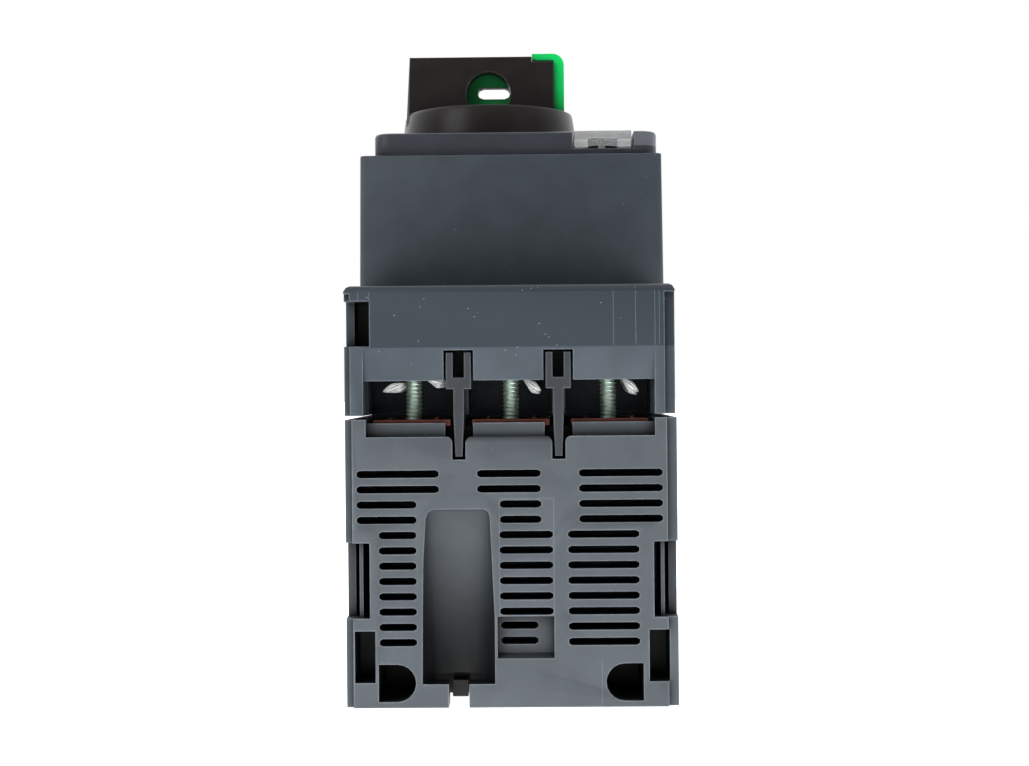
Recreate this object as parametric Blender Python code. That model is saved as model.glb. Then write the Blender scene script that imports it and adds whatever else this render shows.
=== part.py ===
"""Three-pole motor protection breaker with a rotary handle, 45 mm wide.

The breaker lies on its rear face as on a bench: +Z points out of the front, z = 0 is
the rear face, the load terminals are at -Y and the line terminals at +Y.
"""
import math

import bmesh
import bpy
from mathutils import Vector

MM = 0.001

# Outside of the case.
HALF_WIDTH = 22.5 * MM
HALF_LENGTH = 44.5 * MM
REAR_TOP = 39.0 * MM
FRONT_BOTTOM = 39.5 * MM
FRONT_TOP = 57.1 * MM
FRONT_RIGHT = 22.3 * MM
NOSE_HALF_WIDTH = 22.3 * MM
NOSE_HALF_LENGTH = 22.5 * MM
NOSE_TOP = 77.6 * MM
NOSE_DRAFT = 1.008
PLATE_TOP = 81.2 * MM
SEAM = 0.3 * MM

# Poles, counted from the left as seen from the load end.
POLE_PITCH = 13.5 * MM
POLES = [-POLE_PITCH, 0.0, POLE_PITCH]
CELL_HALF_WIDTH = 6.0 * MM
CELL_FLOOR = 10.0 * MM
CELL_HALF_LENGTH = 29.0 * MM
CHAMBER_HALF_WIDTH = 5.2 * MM
BAFFLE = 1.3 * MM
END_WALL = 5.2 * MM
LEDGE_TOP = 37.7 * MM
LIP_TOP = 38.45 * MM
LEDGE_BOTTOM = 34.0 * MM
TERMINAL_Y = 37.0 * MM
BARRIER_X = [-7.0 * MM, 6.5 * MM]

# Vent slots in the end walls.
SLOT_HEIGHT = 1.0 * MM
SLOT_PITCH = 2.068 * MM
TOP_SLOT_Z = 31.6 * MM

# 35 mm top-hat rail.
RAIL_HALF_WIDTH = 17.5 * MM
RAIL_CLEARANCE = 0.4 * MM
RAIL_SEAT_Z = 5.1 * MM
RAIL_LIP_Z = 3.7 * MM

# Copper.
COPPER_LOW = 38.0 * MM
COPPER_HIGH = 38.9 * MM
COPPER_HALF_WIDTH = 5.3 * MM

# Contacts.
CONTACT_Y = 10.0 * MM

# Handle.
KNOB_X = -3.67 * MM
KNOB_RADIUS = 13.75 * MM
KNOB_LOW = 81.5 * MM
KNOB_DISC_TOP = 86.5 * MM
GRIP_TOP = 95.4 * MM
GRIP_HALF_THICKNESS = 4.5 * MM
PADLOCK_HOLE_Z = 89.5 * MM
PADLOCK_HOLE_RADIUS = 3.55 * MM

for stale in list(bpy.data.objects):
    bpy.data.objects.remove(stale, do_unlink=True)


def finish(name, colour, roughness, metallic=0.0, alpha=1.0):
    """A Principled material for one kind of piece."""
    made = bpy.data.materials.new(name)
    made.use_nodes = True
    shader = made.node_tree.nodes["Principled BSDF"]
    shader.inputs["Base Color"].default_value = (*colour, 1.0)
    shader.inputs["Roughness"].default_value = roughness
    shader.inputs["Metallic"].default_value = metallic
    shader.inputs["Alpha"].default_value = alpha
    made.diffuse_color = (*colour, alpha)
    return made


GREY_CASE = finish("grey_case_plastic", (0.135, 0.165, 0.185), 0.55)
DARK_CASE = finish("dark_case_plastic", (0.075, 0.092, 0.108), 0.5)
NOSE_PLASTIC = finish("nose_plastic", (0.052, 0.063, 0.078), 0.42)
BLACK_PLASTIC = finish("black_plastic", (0.022, 0.020, 0.020), 0.38)
GREEN_PLASTIC = finish("green_plastic", (0.0, 0.50, 0.09), 0.4)
CLEAR_PLASTIC = finish("clear_plastic", (0.85, 0.87, 0.88), 0.1, alpha=0.4)
INNER_PLASTIC = finish("inner_plastic", (0.32, 0.30, 0.26), 0.5)
WHITE_PLASTIC = finish("white_plastic", (0.75, 0.74, 0.70), 0.45)
COPPER = finish("copper", (0.72, 0.36, 0.20), 0.35, 1.0)
BIMETAL_ALLOY = finish("bimetal_alloy", (0.55, 0.53, 0.48), 0.4, 1.0)
ZINC_STEEL = finish("zinc_plated_steel", (0.62, 0.62, 0.52), 0.3, 1.0)
BRIGHT_STEEL = finish("bright_steel", (0.70, 0.70, 0.70), 0.25, 1.0)
SPRING_STEEL = finish("spring_steel", (0.45, 0.45, 0.46), 0.3, 1.0)


def prism(mesh, outline, axis, low, high):
    """Extrude a closed outline along X, Y or Z.

    The outline holds (y, z) pairs for X, (x, z) pairs for Y and (x, y) pairs for Z.
    """
    place = {"X": lambda u, v, w: (w, u, v),
             "Y": lambda u, v, w: (u, w, v),
             "Z": lambda u, v, w: (u, v, w)}[axis]
    area = sum(u0 * v1 - u1 * v0
               for (u0, v0), (u1, v1) in zip(outline, outline[1:] + outline[:1]))
    clockwise = area < 0.0
    if clockwise != (axis == "Y"):
        outline = outline[::-1]
    near = [mesh.verts.new(place(u, v, low)) for u, v in outline]
    far = [mesh.verts.new(place(u, v, high)) for u, v in outline]
    mesh.faces.new(near[::-1])
    mesh.faces.new(far)
    for index in range(len(outline)):
        after = (index + 1) % len(outline)
        mesh.faces.new((near[index], near[after], far[after], far[index]))


def block(mesh, x, y, z):
    """A box between three (low, high) pairs."""
    prism(mesh, rectangle(x, y), "Z", z[0], z[1])


def rectangle(u, v):
    return [(u[0], v[0]), (u[1], v[0]), (u[1], v[1]), (u[0], v[1])]


def arc(centre, radius, start, end, steps):
    """Points on a circular arc between two angles in degrees, both ends included."""
    points = []
    for step in range(steps + 1):
        angle = math.radians(start + (end - start) * step / steps)
        points.append((centre[0] + radius * math.cos(angle),
                       centre[1] + radius * math.sin(angle)))
    return points


def circle(centre, radius, sides):
    return arc(centre, radius, 0.0, 360.0 * (sides - 1) / sides, sides - 1)


def rounded(u, v, radius, steps=3):
    """A rectangle with round corners."""
    inner_u = (u[0] + radius, u[1] - radius)
    inner_v = (v[0] + radius, v[1] - radius)
    return (arc((inner_u[0], inner_v[0]), radius, 180.0, 270.0, steps)
            + arc((inner_u[1], inner_v[0]), radius, 270.0, 360.0, steps)
            + arc((inner_u[1], inner_v[1]), radius, 0.0, 90.0, steps)
            + arc((inner_u[0], inner_v[1]), radius, 90.0, 180.0, steps))


def obround(u, v, steps=2):
    """A slot outline along u whose two ends are half circles."""
    radius = (v[1] - v[0]) / 2.0
    middle = (v[0] + v[1]) / 2.0
    return (arc((u[1] - radius, middle), radius, -90.0, 90.0, steps)
            + arc((u[0] + radius, middle), radius, 90.0, 270.0, steps))


def lathe(mesh, profile, centre, sides):
    """Turn a closed (radius, z) profile about a vertical axis at centre."""
    rings = []
    for side in range(sides):
        angle = 2.0 * math.pi * side / sides
        rings.append([mesh.verts.new((centre[0] + radius * math.cos(angle),
                                      centre[1] + radius * math.sin(angle), z))
                      for radius, z in profile])
    faces = []
    for side in range(sides):
        ring = rings[side]
        next_ring = rings[(side + 1) % sides]
        for index in range(len(profile)):
            after = (index + 1) % len(profile)
            faces.append(mesh.faces.new((ring[index], ring[after],
                                         next_ring[after], next_ring[index])))
    bmesh.ops.recalc_face_normals(mesh, faces=faces)
    return faces


def helix(mesh, centre, radius, wire, low, high, turns, steps_per_turn=12):
    """A closed coil of square wire about a vertical axis."""
    count = int(turns * steps_per_turn)
    half = wire / 2.0
    rings = []
    for step in range(count + 1):
        angle = 2.0 * math.pi * step / steps_per_turn
        z = low + half + (high - low - wire) * step / count
        out = Vector((math.cos(angle), math.sin(angle), 0.0))
        middle = Vector((centre[0], centre[1], z)) + out * radius
        rings.append([mesh.verts.new(middle + out * u * half + Vector((0.0, 0.0, v * half)))
                      for u, v in ((-1, -1), (1, -1), (1, 1), (-1, 1))])
    faces = [mesh.faces.new(rings[0]), mesh.faces.new(rings[-1])]
    for first, second in zip(rings, rings[1:]):
        for index in range(4):
            after = (index + 1) % 4
            faces.append(mesh.faces.new((first[index], first[after],
                                         second[after], second[index])))
    bmesh.ops.recalc_face_normals(mesh, faces=faces)
    return faces


def piece(name, mesh, surface, origin=(0.0, 0.0, 0.0)):
    """Make a named object whose origin is a point on its axis of motion."""
    data = bpy.data.meshes.new(name)
    bmesh.ops.translate(mesh, verts=mesh.verts, vec=-Vector(origin))
    mesh.to_mesh(data)
    mesh.free()
    data.materials.append(surface)
    made = bpy.data.objects.new(name, data)
    made.location = origin
    bpy.context.scene.collection.objects.link(made)
    return made


def turned(name, profile, centre, sides, surface):
    """A solid of revolution on a vertical axis, from its outer profile, low to high."""
    mesh = bmesh.new()
    rings = [[mesh.verts.new((u, v, z)) for u, v in circle(centre, radius, sides)]
             for radius, z in profile]
    faces = [mesh.faces.new(rings[0]), mesh.faces.new(rings[-1])]
    for lower, upper in zip(rings, rings[1:]):
        for index in range(sides):
            after = (index + 1) % sides
            faces.append(mesh.faces.new((lower[index], lower[after],
                                         upper[after], upper[index])))
    bmesh.ops.recalc_face_normals(mesh, faces=faces)
    return piece(name, mesh, surface, (*centre, 0.0))


def tool(target, mesh, operation="DIFFERENCE"):
    """Cut a solid away from a piece, or join one to it, with a Boolean modifier."""
    name = f"{target.name}_tool_{len(target.modifiers) + 1}"
    data = bpy.data.meshes.new(name)
    mesh.to_mesh(data)
    mesh.free()
    shape = bpy.data.objects.new(name, data)
    shape.display_type = "WIRE"
    shape.hide_render = True
    bpy.context.scene.collection.objects.link(shape)
    step = target.modifiers.new(name, "BOOLEAN")
    step.operation = operation
    step.object = shape


def mirrored_ends(mesh):
    """Copy a tool shape made for the load end to the line end."""
    copy = bmesh.ops.duplicate(mesh, geom=mesh.verts[:] + mesh.edges[:] + mesh.faces[:])
    verts = [item for item in copy["geom"] if isinstance(item, bmesh.types.BMVert)]
    faces = [item for item in copy["geom"] if isinstance(item, bmesh.types.BMFace)]
    bmesh.ops.scale(mesh, verts=verts, vec=(1.0, -1.0, 1.0))
    bmesh.ops.reverse_faces(mesh, faces=faces)
    return mesh


# ---------------------------------------------------------------- rear housing
def slot_rows():
    """(x range, first row, last row) of each block of vent slots, rows from the top."""
    return [((-20.95 * MM, -9.7 * MM), 1, 2), ((-20.95 * MM, -12.75 * MM), 3, 4),
            ((-18.0 * MM, -12.8 * MM), 5, 12), ((-4.63 * MM, 4.07 * MM), 1, 2),
            ((-1.6 * MM, 4.13 * MM), 3, 4), ((-1.68 * MM, 5.66 * MM), 5, 10),
            ((-1.6 * MM, 3.6 * MM), 11, 12), ((9.12 * MM, 20.54 * MM), 1, 4),
            ((7.58 * MM, 17.3 * MM), 5, 12)]


def cut_slots(housing, outer, inner, steps):
    """Vent slots through one end wall, between two y values."""
    mesh = bmesh.new()
    for x, first, last in slot_rows():
        for row in range(first, last + 1):
            middle = TOP_SLOT_Z - (row - 1) * SLOT_PITCH
            z = (middle - SLOT_HEIGHT / 2.0, middle + SLOT_HEIGHT / 2.0)
            prism(mesh, obround(x, z, steps), "Y", outer, inner)
    tool(housing, mesh)


def cut_driver_channel(housing):
    """The scooped channel that leads a screwdriver down to the rail clip."""
    levels = [(26.8, -10.6, -3.7, 1.0), (26.4, -11.3, -3.1, 1.6), (25.6, -11.6, -2.9, 2.0),
              (20.0, -11.95, -2.65, 3.0), (12.0, -12.1, -2.34, 4.2), (3.18, -12.18, -2.34, 5.4)]
    steps = 12
    mesh = bmesh.new()
    rings = []
    for z, left, right, depth in levels:
        ring = []
        for step in range(steps + 1):
            share = (1.0 - math.cos(math.pi * step / steps)) / 2.0
            bulge = math.sin(math.pi * step / steps)
            ring.append(mesh.verts.new(((left + (right - left) * share) * MM,
                                        -HALF_LENGTH + depth * MM * bulge, z * MM)))
        ring.append(mesh.verts.new((right * MM, -HALF_LENGTH - 1.0 * MM, z * MM)))
        ring.append(mesh.verts.new((left * MM, -HALF_LENGTH - 1.0 * MM, z * MM)))
        rings.append(ring)
    faces = [mesh.faces.new(rings[0]), mesh.faces.new(rings[-1])]
    for upper, lower in zip(rings, rings[1:]):
        for index in range(len(upper)):
            after = (index + 1) % len(upper)
            faces.append(mesh.faces.new((upper[index], upper[after],
                                         lower[after], lower[index])))
    bmesh.ops.recalc_face_normals(mesh, faces=faces)
    tool(housing, mesh)


def rear_housing():
    mesh = bmesh.new()
    block(mesh, (-HALF_WIDTH, HALF_WIDTH), (-HALF_LENGTH, HALF_LENGTH), (0.0, REAR_TOP))
    housing = piece("rear_housing", mesh, GREY_CASE)

    # Three pole cells, open to the front.
    mesh = bmesh.new()
    for x in POLES:
        block(mesh, (x - CELL_HALF_WIDTH, x + CELL_HALF_WIDTH),
              (-CELL_HALF_LENGTH, CELL_HALF_LENGTH), (CELL_FLOOR, REAR_TOP + MM))
    tool(housing, mesh)

    # A gas chamber under each terminal ledge, vented through the end wall.
    mesh = bmesh.new()
    for x in POLES:
        block(mesh, (x - CHAMBER_HALF_WIDTH, x + CHAMBER_HALF_WIDTH),
              (-HALF_LENGTH + END_WALL, -CELL_HALF_LENGTH - BAFFLE), (CELL_FLOOR, LEDGE_BOTTOM))
    tool(housing, mirrored_ends(mesh))

    # Terminal ledges and the lower top edge of the end walls.
    mesh = bmesh.new()
    low = -HALF_LENGTH - MM
    step = -HALF_LENGTH + 1.5 * MM
    lip = -HALF_LENGTH + 2.2 * MM
    back = -CELL_HALF_LENGTH + 0.2 * MM
    ledges = [(low, 36.6 * MM), (step, 36.6 * MM), (step, LIP_TOP), (lip, LIP_TOP),
              (lip, LEDGE_TOP), (back, LEDGE_TOP), (back, REAR_TOP + MM),
              (low, REAR_TOP + MM)]
    prism(mesh, ledges, "X", -19.6 * MM, 19.5 * MM)
    tool(housing, mirrored_ends(mesh))

    # Pockets that take the phase barriers, narrower where they pass the end wall.
    mesh = bmesh.new()
    for x in BARRIER_X:
        outline = [(x - 0.9 * MM, low), (x + 0.9 * MM, low), (x + 0.9 * MM, step),
                   (x + 1.9 * MM, step), (x + 1.9 * MM, -38.0 * MM),
                   (x - 1.9 * MM, -38.0 * MM), (x - 1.9 * MM, step), (x - 0.9 * MM, step)]
        prism(mesh, outline, "Z", 33.5 * MM, REAR_TOP + MM)
    tool(housing, mirrored_ends(mesh))

    # Clearance holes under the terminal screws.
    mesh = bmesh.new()
    for x in POLES:
        prism(mesh, circle((x, -TERMINAL_Y), 2.6 * MM, 12), "Z", 33.0 * MM, REAR_TOP)
    tool(housing, mirrored_ends(mesh))

    # Steps up the four corners and the grip notches in each side.
    mesh = bmesh.new()
    for x in ((-23.5 * MM, -21.5 * MM), (21.1 * MM, 23.5 * MM)):
        block(mesh, x, (low, -HALF_LENGTH + 0.8 * MM), (-MM, REAR_TOP + MM))
    tool(housing, mirrored_ends(mesh))
    mesh = bmesh.new()
    notch = [(19.2, low), (23.5, low), (23.5, -41.0 * MM), (21.4, -41.0 * MM),
             (21.4, -35.0 * MM), (20.7, -35.0 * MM), (20.7, -43.2 * MM), (20.2, -43.2 * MM),
             (20.2, -35.0 * MM), (19.2, -35.0 * MM)]
    for side in (-1.0, 1.0):
        outline = [(side * x * MM, y) for x, y in notch]
        prism(mesh, outline, "Z", 12.1 * MM, 22.3 * MM)
        x = sorted((side * 18.5 * MM, side * 21.3 * MM))
        block(mesh, x, (low, -HALF_LENGTH + 7.5 * MM), (3.4 * MM, 10.4 * MM))
    tool(housing, mirrored_ends(mesh))

    # The two D-shaped recesses low in the load end.
    mesh = bmesh.new()
    radius = 2.53 * MM
    for side, flat in ((-1.0, 18.1 * MM), (1.0, 17.7 * MM)):
        centre = (side * (flat - radius), 3.35 * MM)
        turn = 90.0 if side > 0 else -90.0
        outline = arc(centre, radius, turn, turn + 180.0, 10)
        outline += [(side * flat, centre[1] - side * radius),
                    (side * flat, centre[1] + side * radius)]
        prism(mesh, outline, "Y", low, -32.0 * MM)
    tool(housing, mesh)

    # The shallow field around the two lowest middle slots, with a sloped sill.
    field = [(low, 6.2 * MM), (-HALF_LENGTH, 6.6 * MM), (-43.1 * MM, 7.2 * MM),
             (-43.1 * MM, 12.3 * MM), (low, 12.3 * MM)]
    mesh = bmesh.new()
    prism(mesh, field, "X", -2.0 * MM, 5.7 * MM)
    tool(housing, mesh)

    cut_slots(housing, low, -38.9 * MM, 3)
    cut_slots(housing, 38.9 * MM, -low, 1)
    cut_driver_channel(housing)

    # Rail recess with a fixed hook at the line end, and the guide of the rail clip.
    edge = RAIL_HALF_WIDTH + RAIL_CLEARANCE
    recess = [(-edge, -MM), (edge - 1.5 * MM, -MM), (edge - 1.5 * MM, RAIL_LIP_Z),
              (edge, RAIL_LIP_Z), (edge, RAIL_SEAT_Z), (-edge, RAIL_SEAT_Z)]
    mesh = bmesh.new()
    prism(mesh, recess, "X", -24.0 * MM, 24.0 * MM)
    tool(housing, mesh)
    guide = [(-11.2 * MM, -MM), (-3.3 * MM, -MM), (-3.3 * MM, 1.2 * MM), (-1.9 * MM, 1.2 * MM),
             (-1.9 * MM, 3.9 * MM), (-12.6 * MM, 3.9 * MM), (-12.6 * MM, 1.2 * MM),
             (-11.2 * MM, 1.2 * MM)]
    mesh = bmesh.new()
    prism(mesh, guide, "Y", -40.6 * MM, -17.0 * MM)
    tool(housing, mesh)
    mesh = bmesh.new()
    block(mesh, (-8.65 * MM, -5.87 * MM), (low, -40.0 * MM), (-MM, 3.2 * MM))
    tool(housing, mesh)


# --------------------------------------------------------------- front housing
def front_housing():
    mesh = bmesh.new()
    block(mesh, (-HALF_WIDTH, FRONT_RIGHT), (-HALF_LENGTH, HALF_LENGTH),
          (FRONT_BOTTOM, FRONT_TOP))
    rim = [edge for edge in mesh.edges if all(v.co.z > FRONT_TOP - MM for v in edge.verts)]
    bmesh.ops.bevel(mesh, geom=rim, offset=0.8 * MM, segments=2, profile=0.5,
                    affect="EDGES")
    housing = piece("front_housing", mesh, DARK_CASE)

    # Room for the mechanism, open to the nose and to the pole cells.
    reach = 28.9 * MM
    nose_reach = 20.8 * MM
    deck = 55.2 * MM
    room = [(-reach, 38.0 * MM), (reach, 38.0 * MM), (reach, deck), (nose_reach, deck),
            (nose_reach, 58.0 * MM), (-nose_reach, 58.0 * MM), (-nose_reach, deck),
            (-reach, deck)]
    mesh = bmesh.new()
    prism(mesh, room, "X", -20.3 * MM, 20.3 * MM)
    tool(housing, mesh)

    # Wire entries: a wide mouth, then one pocket for each pole.
    low = -HALF_LENGTH - MM
    mesh = bmesh.new()
    mouth = [(low, 38.0 * MM), (-38.3 * MM, 38.0 * MM), (-38.3 * MM, 44.2 * MM),
             (-44.0 * MM, 44.2 * MM), (-HALF_LENGTH, 48.6 * MM), (low, 48.6 * MM)]
    prism(mesh, mouth, "X", -19.9 * MM, 19.5 * MM)
    tool(housing, mirrored_ends(mesh))
    mesh = bmesh.new()
    for x in ((-19.8, -7.7), (-5.9, 5.7), (7.5, 19.4)):
        block(mesh, (x[0] * MM, x[1] * MM), (-42.4 * MM, -30.2 * MM), (37.0 * MM, 46.4 * MM))
    tool(housing, mirrored_ends(mesh))
    mesh = bmesh.new()
    for x in BARRIER_X:
        block(mesh, (x - 2.0 * MM, x + 2.0 * MM), (low, -38.0 * MM), (38.5 * MM, 48.3 * MM))
    tool(housing, mirrored_ends(mesh))

    # Screwdriver wells down to the terminal screws.
    mesh = bmesh.new()
    for x in POLES:
        prism(mesh, circle((x, -TERMINAL_Y), 4.2 * MM, 20), "Z", 46.0 * MM, 58.0 * MM)
    tool(housing, mirrored_ends(mesh))

    # Corner steps and the tall side window.
    mesh = bmesh.new()
    for x in ((-23.5 * MM, -21.7 * MM), (20.9 * MM, 23.5 * MM)):
        block(mesh, x, (low, -HALF_LENGTH + 0.8 * MM), (38.0 * MM, 56.0 * MM))
    tool(housing, mirrored_ends(mesh))
    mesh = bmesh.new()
    window = [(-19.0 * MM, low), (-23.5 * MM, low), (-23.5 * MM, -41.0 * MM),
              (-21.3 * MM, -41.0 * MM), (-21.3 * MM, -37.0 * MM), (-19.0 * MM, -37.0 * MM)]
    prism(mesh, window, "Z", 48.9 * MM, 55.0 * MM)
    tool(housing, mirrored_ends(mesh))


# ------------------------------------------------------------- nose and front
DIAL_CENTRE = (13.8 * MM, -11.5 * MM)
DIAL_RADIUS = 2.9 * MM
BUTTON_CENTRE = (-15.9 * MM, -15.9 * MM)
BUTTON_RADIUS = 1.7 * MM
SHAFT_HALF_WIDTH = 2.5 * MM
COVER_X = (9.5 * MM, 18.0 * MM)
COVER_Y = (-20.3 * MM, -5.0 * MM)
COVER_HINGE_Z = 81.3 * MM


def nose_cover():
    low = FRONT_TOP + SEAM
    mesh = bmesh.new()
    prism(mesh, rounded((-NOSE_HALF_WIDTH, NOSE_HALF_WIDTH),
                        (-NOSE_HALF_LENGTH, NOSE_HALF_LENGTH), 0.8 * MM, 3), "Z",
          low, NOSE_TOP)
    for vert in mesh.verts:
        if vert.co.z < low + MM:
            vert.co.x *= NOSE_DRAFT
            vert.co.y *= NOSE_DRAFT
    cover = piece("nose_cover", mesh, NOSE_PLASTIC)
    mesh = bmesh.new()
    block(mesh, (-20.8 * MM, 20.8 * MM), (-21.0 * MM, 21.0 * MM), (low - MM, 75.8 * MM))
    tool(cover, mesh)
    mesh = bmesh.new()
    prism(mesh, circle((KNOB_X, 0.0), 4.3 * MM, 20), "Z", 75.0 * MM, 79.0 * MM)
    prism(mesh, circle(DIAL_CENTRE, DIAL_RADIUS + SEAM, 16), "Z", 75.0 * MM, 79.0 * MM)
    prism(mesh, circle(BUTTON_CENTRE, BUTTON_RADIUS + SEAM, 12), "Z", 75.0 * MM, 79.0 * MM)
    tool(cover, mesh)


def front_plate():
    mesh = bmesh.new()
    prism(mesh, rounded((-20.4 * MM, 21.8 * MM), (-20.6 * MM, 20.6 * MM), 2.4 * MM, 4), "Z",
          NOSE_TOP + SEAM, PLATE_TOP)
    rim = [edge for edge in mesh.edges
           if all(v.co.z > PLATE_TOP - 0.1 * MM for v in edge.verts)]
    bmesh.ops.bevel(mesh, geom=rim, offset=0.5 * MM, segments=2, profile=0.5,
                    affect="EDGES")
    plate = piece("front_plate", mesh, NOSE_PLASTIC)
    mesh = bmesh.new()
    block(mesh, (9.2 * MM, 18.35 * MM), (-22.0 * MM, -4.6 * MM), (78.6 * MM, 82.0 * MM))
    tool(plate, mesh)
    mesh = bmesh.new()
    prism(mesh, circle((KNOB_X, 0.0), 4.3 * MM, 20), "Z", 77.0 * MM, 82.0 * MM)
    prism(mesh, circle(DIAL_CENTRE, DIAL_RADIUS + SEAM, 16), "Z", 77.0 * MM, 82.0 * MM)
    prism(mesh, circle(BUTTON_CENTRE, BUTTON_RADIUS + SEAM, 12), "Z", 77.0 * MM, 82.0 * MM)
    tool(plate, mesh)


def setting_cover():
    """Clear flap over the dial: a thin lid on two end feet, hinged along its right edge."""
    outline = [(COVER_X[0], 80.5 * MM), (COVER_X[1], 80.5 * MM), (COVER_X[1], 81.3 * MM),
               (COVER_X[0], 81.3 * MM)]
    mesh = bmesh.new()
    prism(mesh, outline, "Y", COVER_Y[0], COVER_Y[1])
    cover = piece("setting_cover", mesh, CLEAR_PLASTIC, (COVER_X[1], -12.0 * MM, COVER_HINGE_Z))
    mesh = bmesh.new()
    for x in ((9.5 * MM, 11.6 * MM), (15.9 * MM, 18.0 * MM)):
        block(mesh, x, (COVER_Y[0], -18.3 * MM), (78.9 * MM, 81.0 * MM))
    tool(cover, mesh, "UNION")


def setting_dial():
    mesh = bmesh.new()
    prism(mesh, circle((DIAL_CENTRE), DIAL_RADIUS, 16), "Z", 72.0 * MM, 79.9 * MM)
    dial = piece("setting_dial", mesh, WHITE_PLASTIC, (*DIAL_CENTRE, 0.0))
    mesh = bmesh.new()
    block(mesh, (DIAL_CENTRE[0] - 0.5 * MM, DIAL_CENTRE[0] + 0.5 * MM),
          (DIAL_CENTRE[1] - 4.0 * MM, DIAL_CENTRE[1] + 4.0 * MM), (78.9 * MM, 81.0 * MM))
    tool(dial, mesh)


def test_button():
    mesh = bmesh.new()
    prism(mesh, circle(BUTTON_CENTRE, BUTTON_RADIUS, 12), "Z", 56.0 * MM, 81.0 * MM)
    piece("test_button", mesh, WHITE_PLASTIC, (*BUTTON_CENTRE, 0.0))


# -------------------------------------------------------------- rotary handle
SLIDE_TRAVEL = 6.5 * MM


def handle():
    centre = (KNOB_X, 0.0)
    profile = [(KNOB_RADIUS, KNOB_LOW), (KNOB_RADIUS, KNOB_LOW + 1.0 * MM),
               (KNOB_RADIUS - 0.4 * MM, KNOB_LOW + 3.0 * MM),
               (KNOB_RADIUS - 1.1 * MM, KNOB_DISC_TOP - 0.5 * MM),
               (KNOB_RADIUS - 1.6 * MM, KNOB_DISC_TOP)]
    knob = turned("knob", profile, centre, 48, BLACK_PLASTIC)

    # Upright grip, rebated at the right end for the head of the padlock slide.
    left = KNOB_X - 12.4 * MM
    right = KNOB_X + 10.3 * MM
    grip = [(left, 85.0 * MM), (right, 85.0 * MM), (right, 94.6 * MM),
            (KNOB_X + 6.9 * MM, 94.6 * MM), (KNOB_X + 6.9 * MM, GRIP_TOP), (left, GRIP_TOP)]
    mesh = bmesh.new()
    prism(mesh, grip, "Y", -GRIP_HALF_THICKNESS, GRIP_HALF_THICKNESS)
    tool(knob, mesh, "UNION")
    mesh = bmesh.new()
    block(mesh, (KNOB_X - 10.2 * MM, right + MM), (-1.5 * MM, 1.5 * MM),
          (86.9 * MM, 93.6 * MM))
    tool(knob, mesh)
    mesh = bmesh.new()
    prism(mesh, circle((KNOB_X, PADLOCK_HOLE_Z), PADLOCK_HOLE_RADIUS, 24), "Y",
          -6.0 * MM, 6.0 * MM)
    tool(knob, mesh)
    mesh = bmesh.new()
    half = SHAFT_HALF_WIDTH + SEAM
    block(mesh, (KNOB_X - half, KNOB_X + half), (-half, half), (80.0 * MM, 84.6 * MM))
    tool(knob, mesh)


def padlock_slide():
    """Green tongue in the grip: pulled out, its hole lines up with the grip's hole."""
    tongue = [(KNOB_X - 9.6 * MM, 87.2 * MM), (KNOB_X + 11.2 * MM, 87.2 * MM),
              (KNOB_X + 11.2 * MM, 93.3 * MM), (KNOB_X - 9.6 * MM, 93.3 * MM)]
    mesh = bmesh.new()
    prism(mesh, tongue, "Y", -1.2 * MM, 1.2 * MM)
    slide = piece("padlock_slide", mesh, GREEN_PLASTIC, (KNOB_X, 0.0, PADLOCK_HOLE_Z))
    inner = KNOB_X + 10.6 * MM
    outer = KNOB_X + 12.0 * MM
    head = [(inner, 86.9 * MM), (outer, 86.9 * MM), (outer, 94.2 * MM),
            *arc((outer - 1.8 * MM, 94.2 * MM), 1.8 * MM, 15.0, 90.0, 5),
            (KNOB_X + 7.3 * MM, 96.0 * MM), (KNOB_X + 7.3 * MM, 94.9 * MM),
            (inner, 94.9 * MM)]
    mesh = bmesh.new()
    prism(mesh, head, "Y", -3.6 * MM, 3.6 * MM)
    tool(slide, mesh, "UNION")
    mesh = bmesh.new()
    prism(mesh, obround((KNOB_X - 1.8 * MM, KNOB_X + 3.45 * MM),
                        (88.5 * MM, 90.4 * MM), 4), "Y", -3.0 * MM, 3.0 * MM)
    prism(mesh, circle((KNOB_X - SLIDE_TRAVEL, PADLOCK_HOLE_Z + 0.6 * MM), 2.6 * MM, 16),
          "Y", -3.0 * MM, 3.0 * MM)
    tool(slide, mesh)


def knob_shaft():
    """Square drive shaft with the cam that works the switching mechanism."""
    mesh = bmesh.new()
    block(mesh, (KNOB_X - SHAFT_HALF_WIDTH, KNOB_X + SHAFT_HALF_WIDTH),
          (-SHAFT_HALF_WIDTH, SHAFT_HALF_WIDTH), (62.5 * MM, 84.3 * MM))
    shaft = piece("knob_shaft", mesh, INNER_PLASTIC, (KNOB_X, 0.0, 0.0))
    cam = arc((KNOB_X, 0.0), 7.0 * MM, -60.0, 60.0, 6) + arc((KNOB_X, 0.0), 4.5 * MM,
                                                             90.0, 270.0, 8)
    mesh = bmesh.new()
    prism(mesh, cam, "Z", 61.6 * MM, 66.0 * MM)
    tool(shaft, mesh, "UNION")


# ------------------------------------------------------------------ terminals
SHANK_RADIUS = 2.0 * MM


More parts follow.
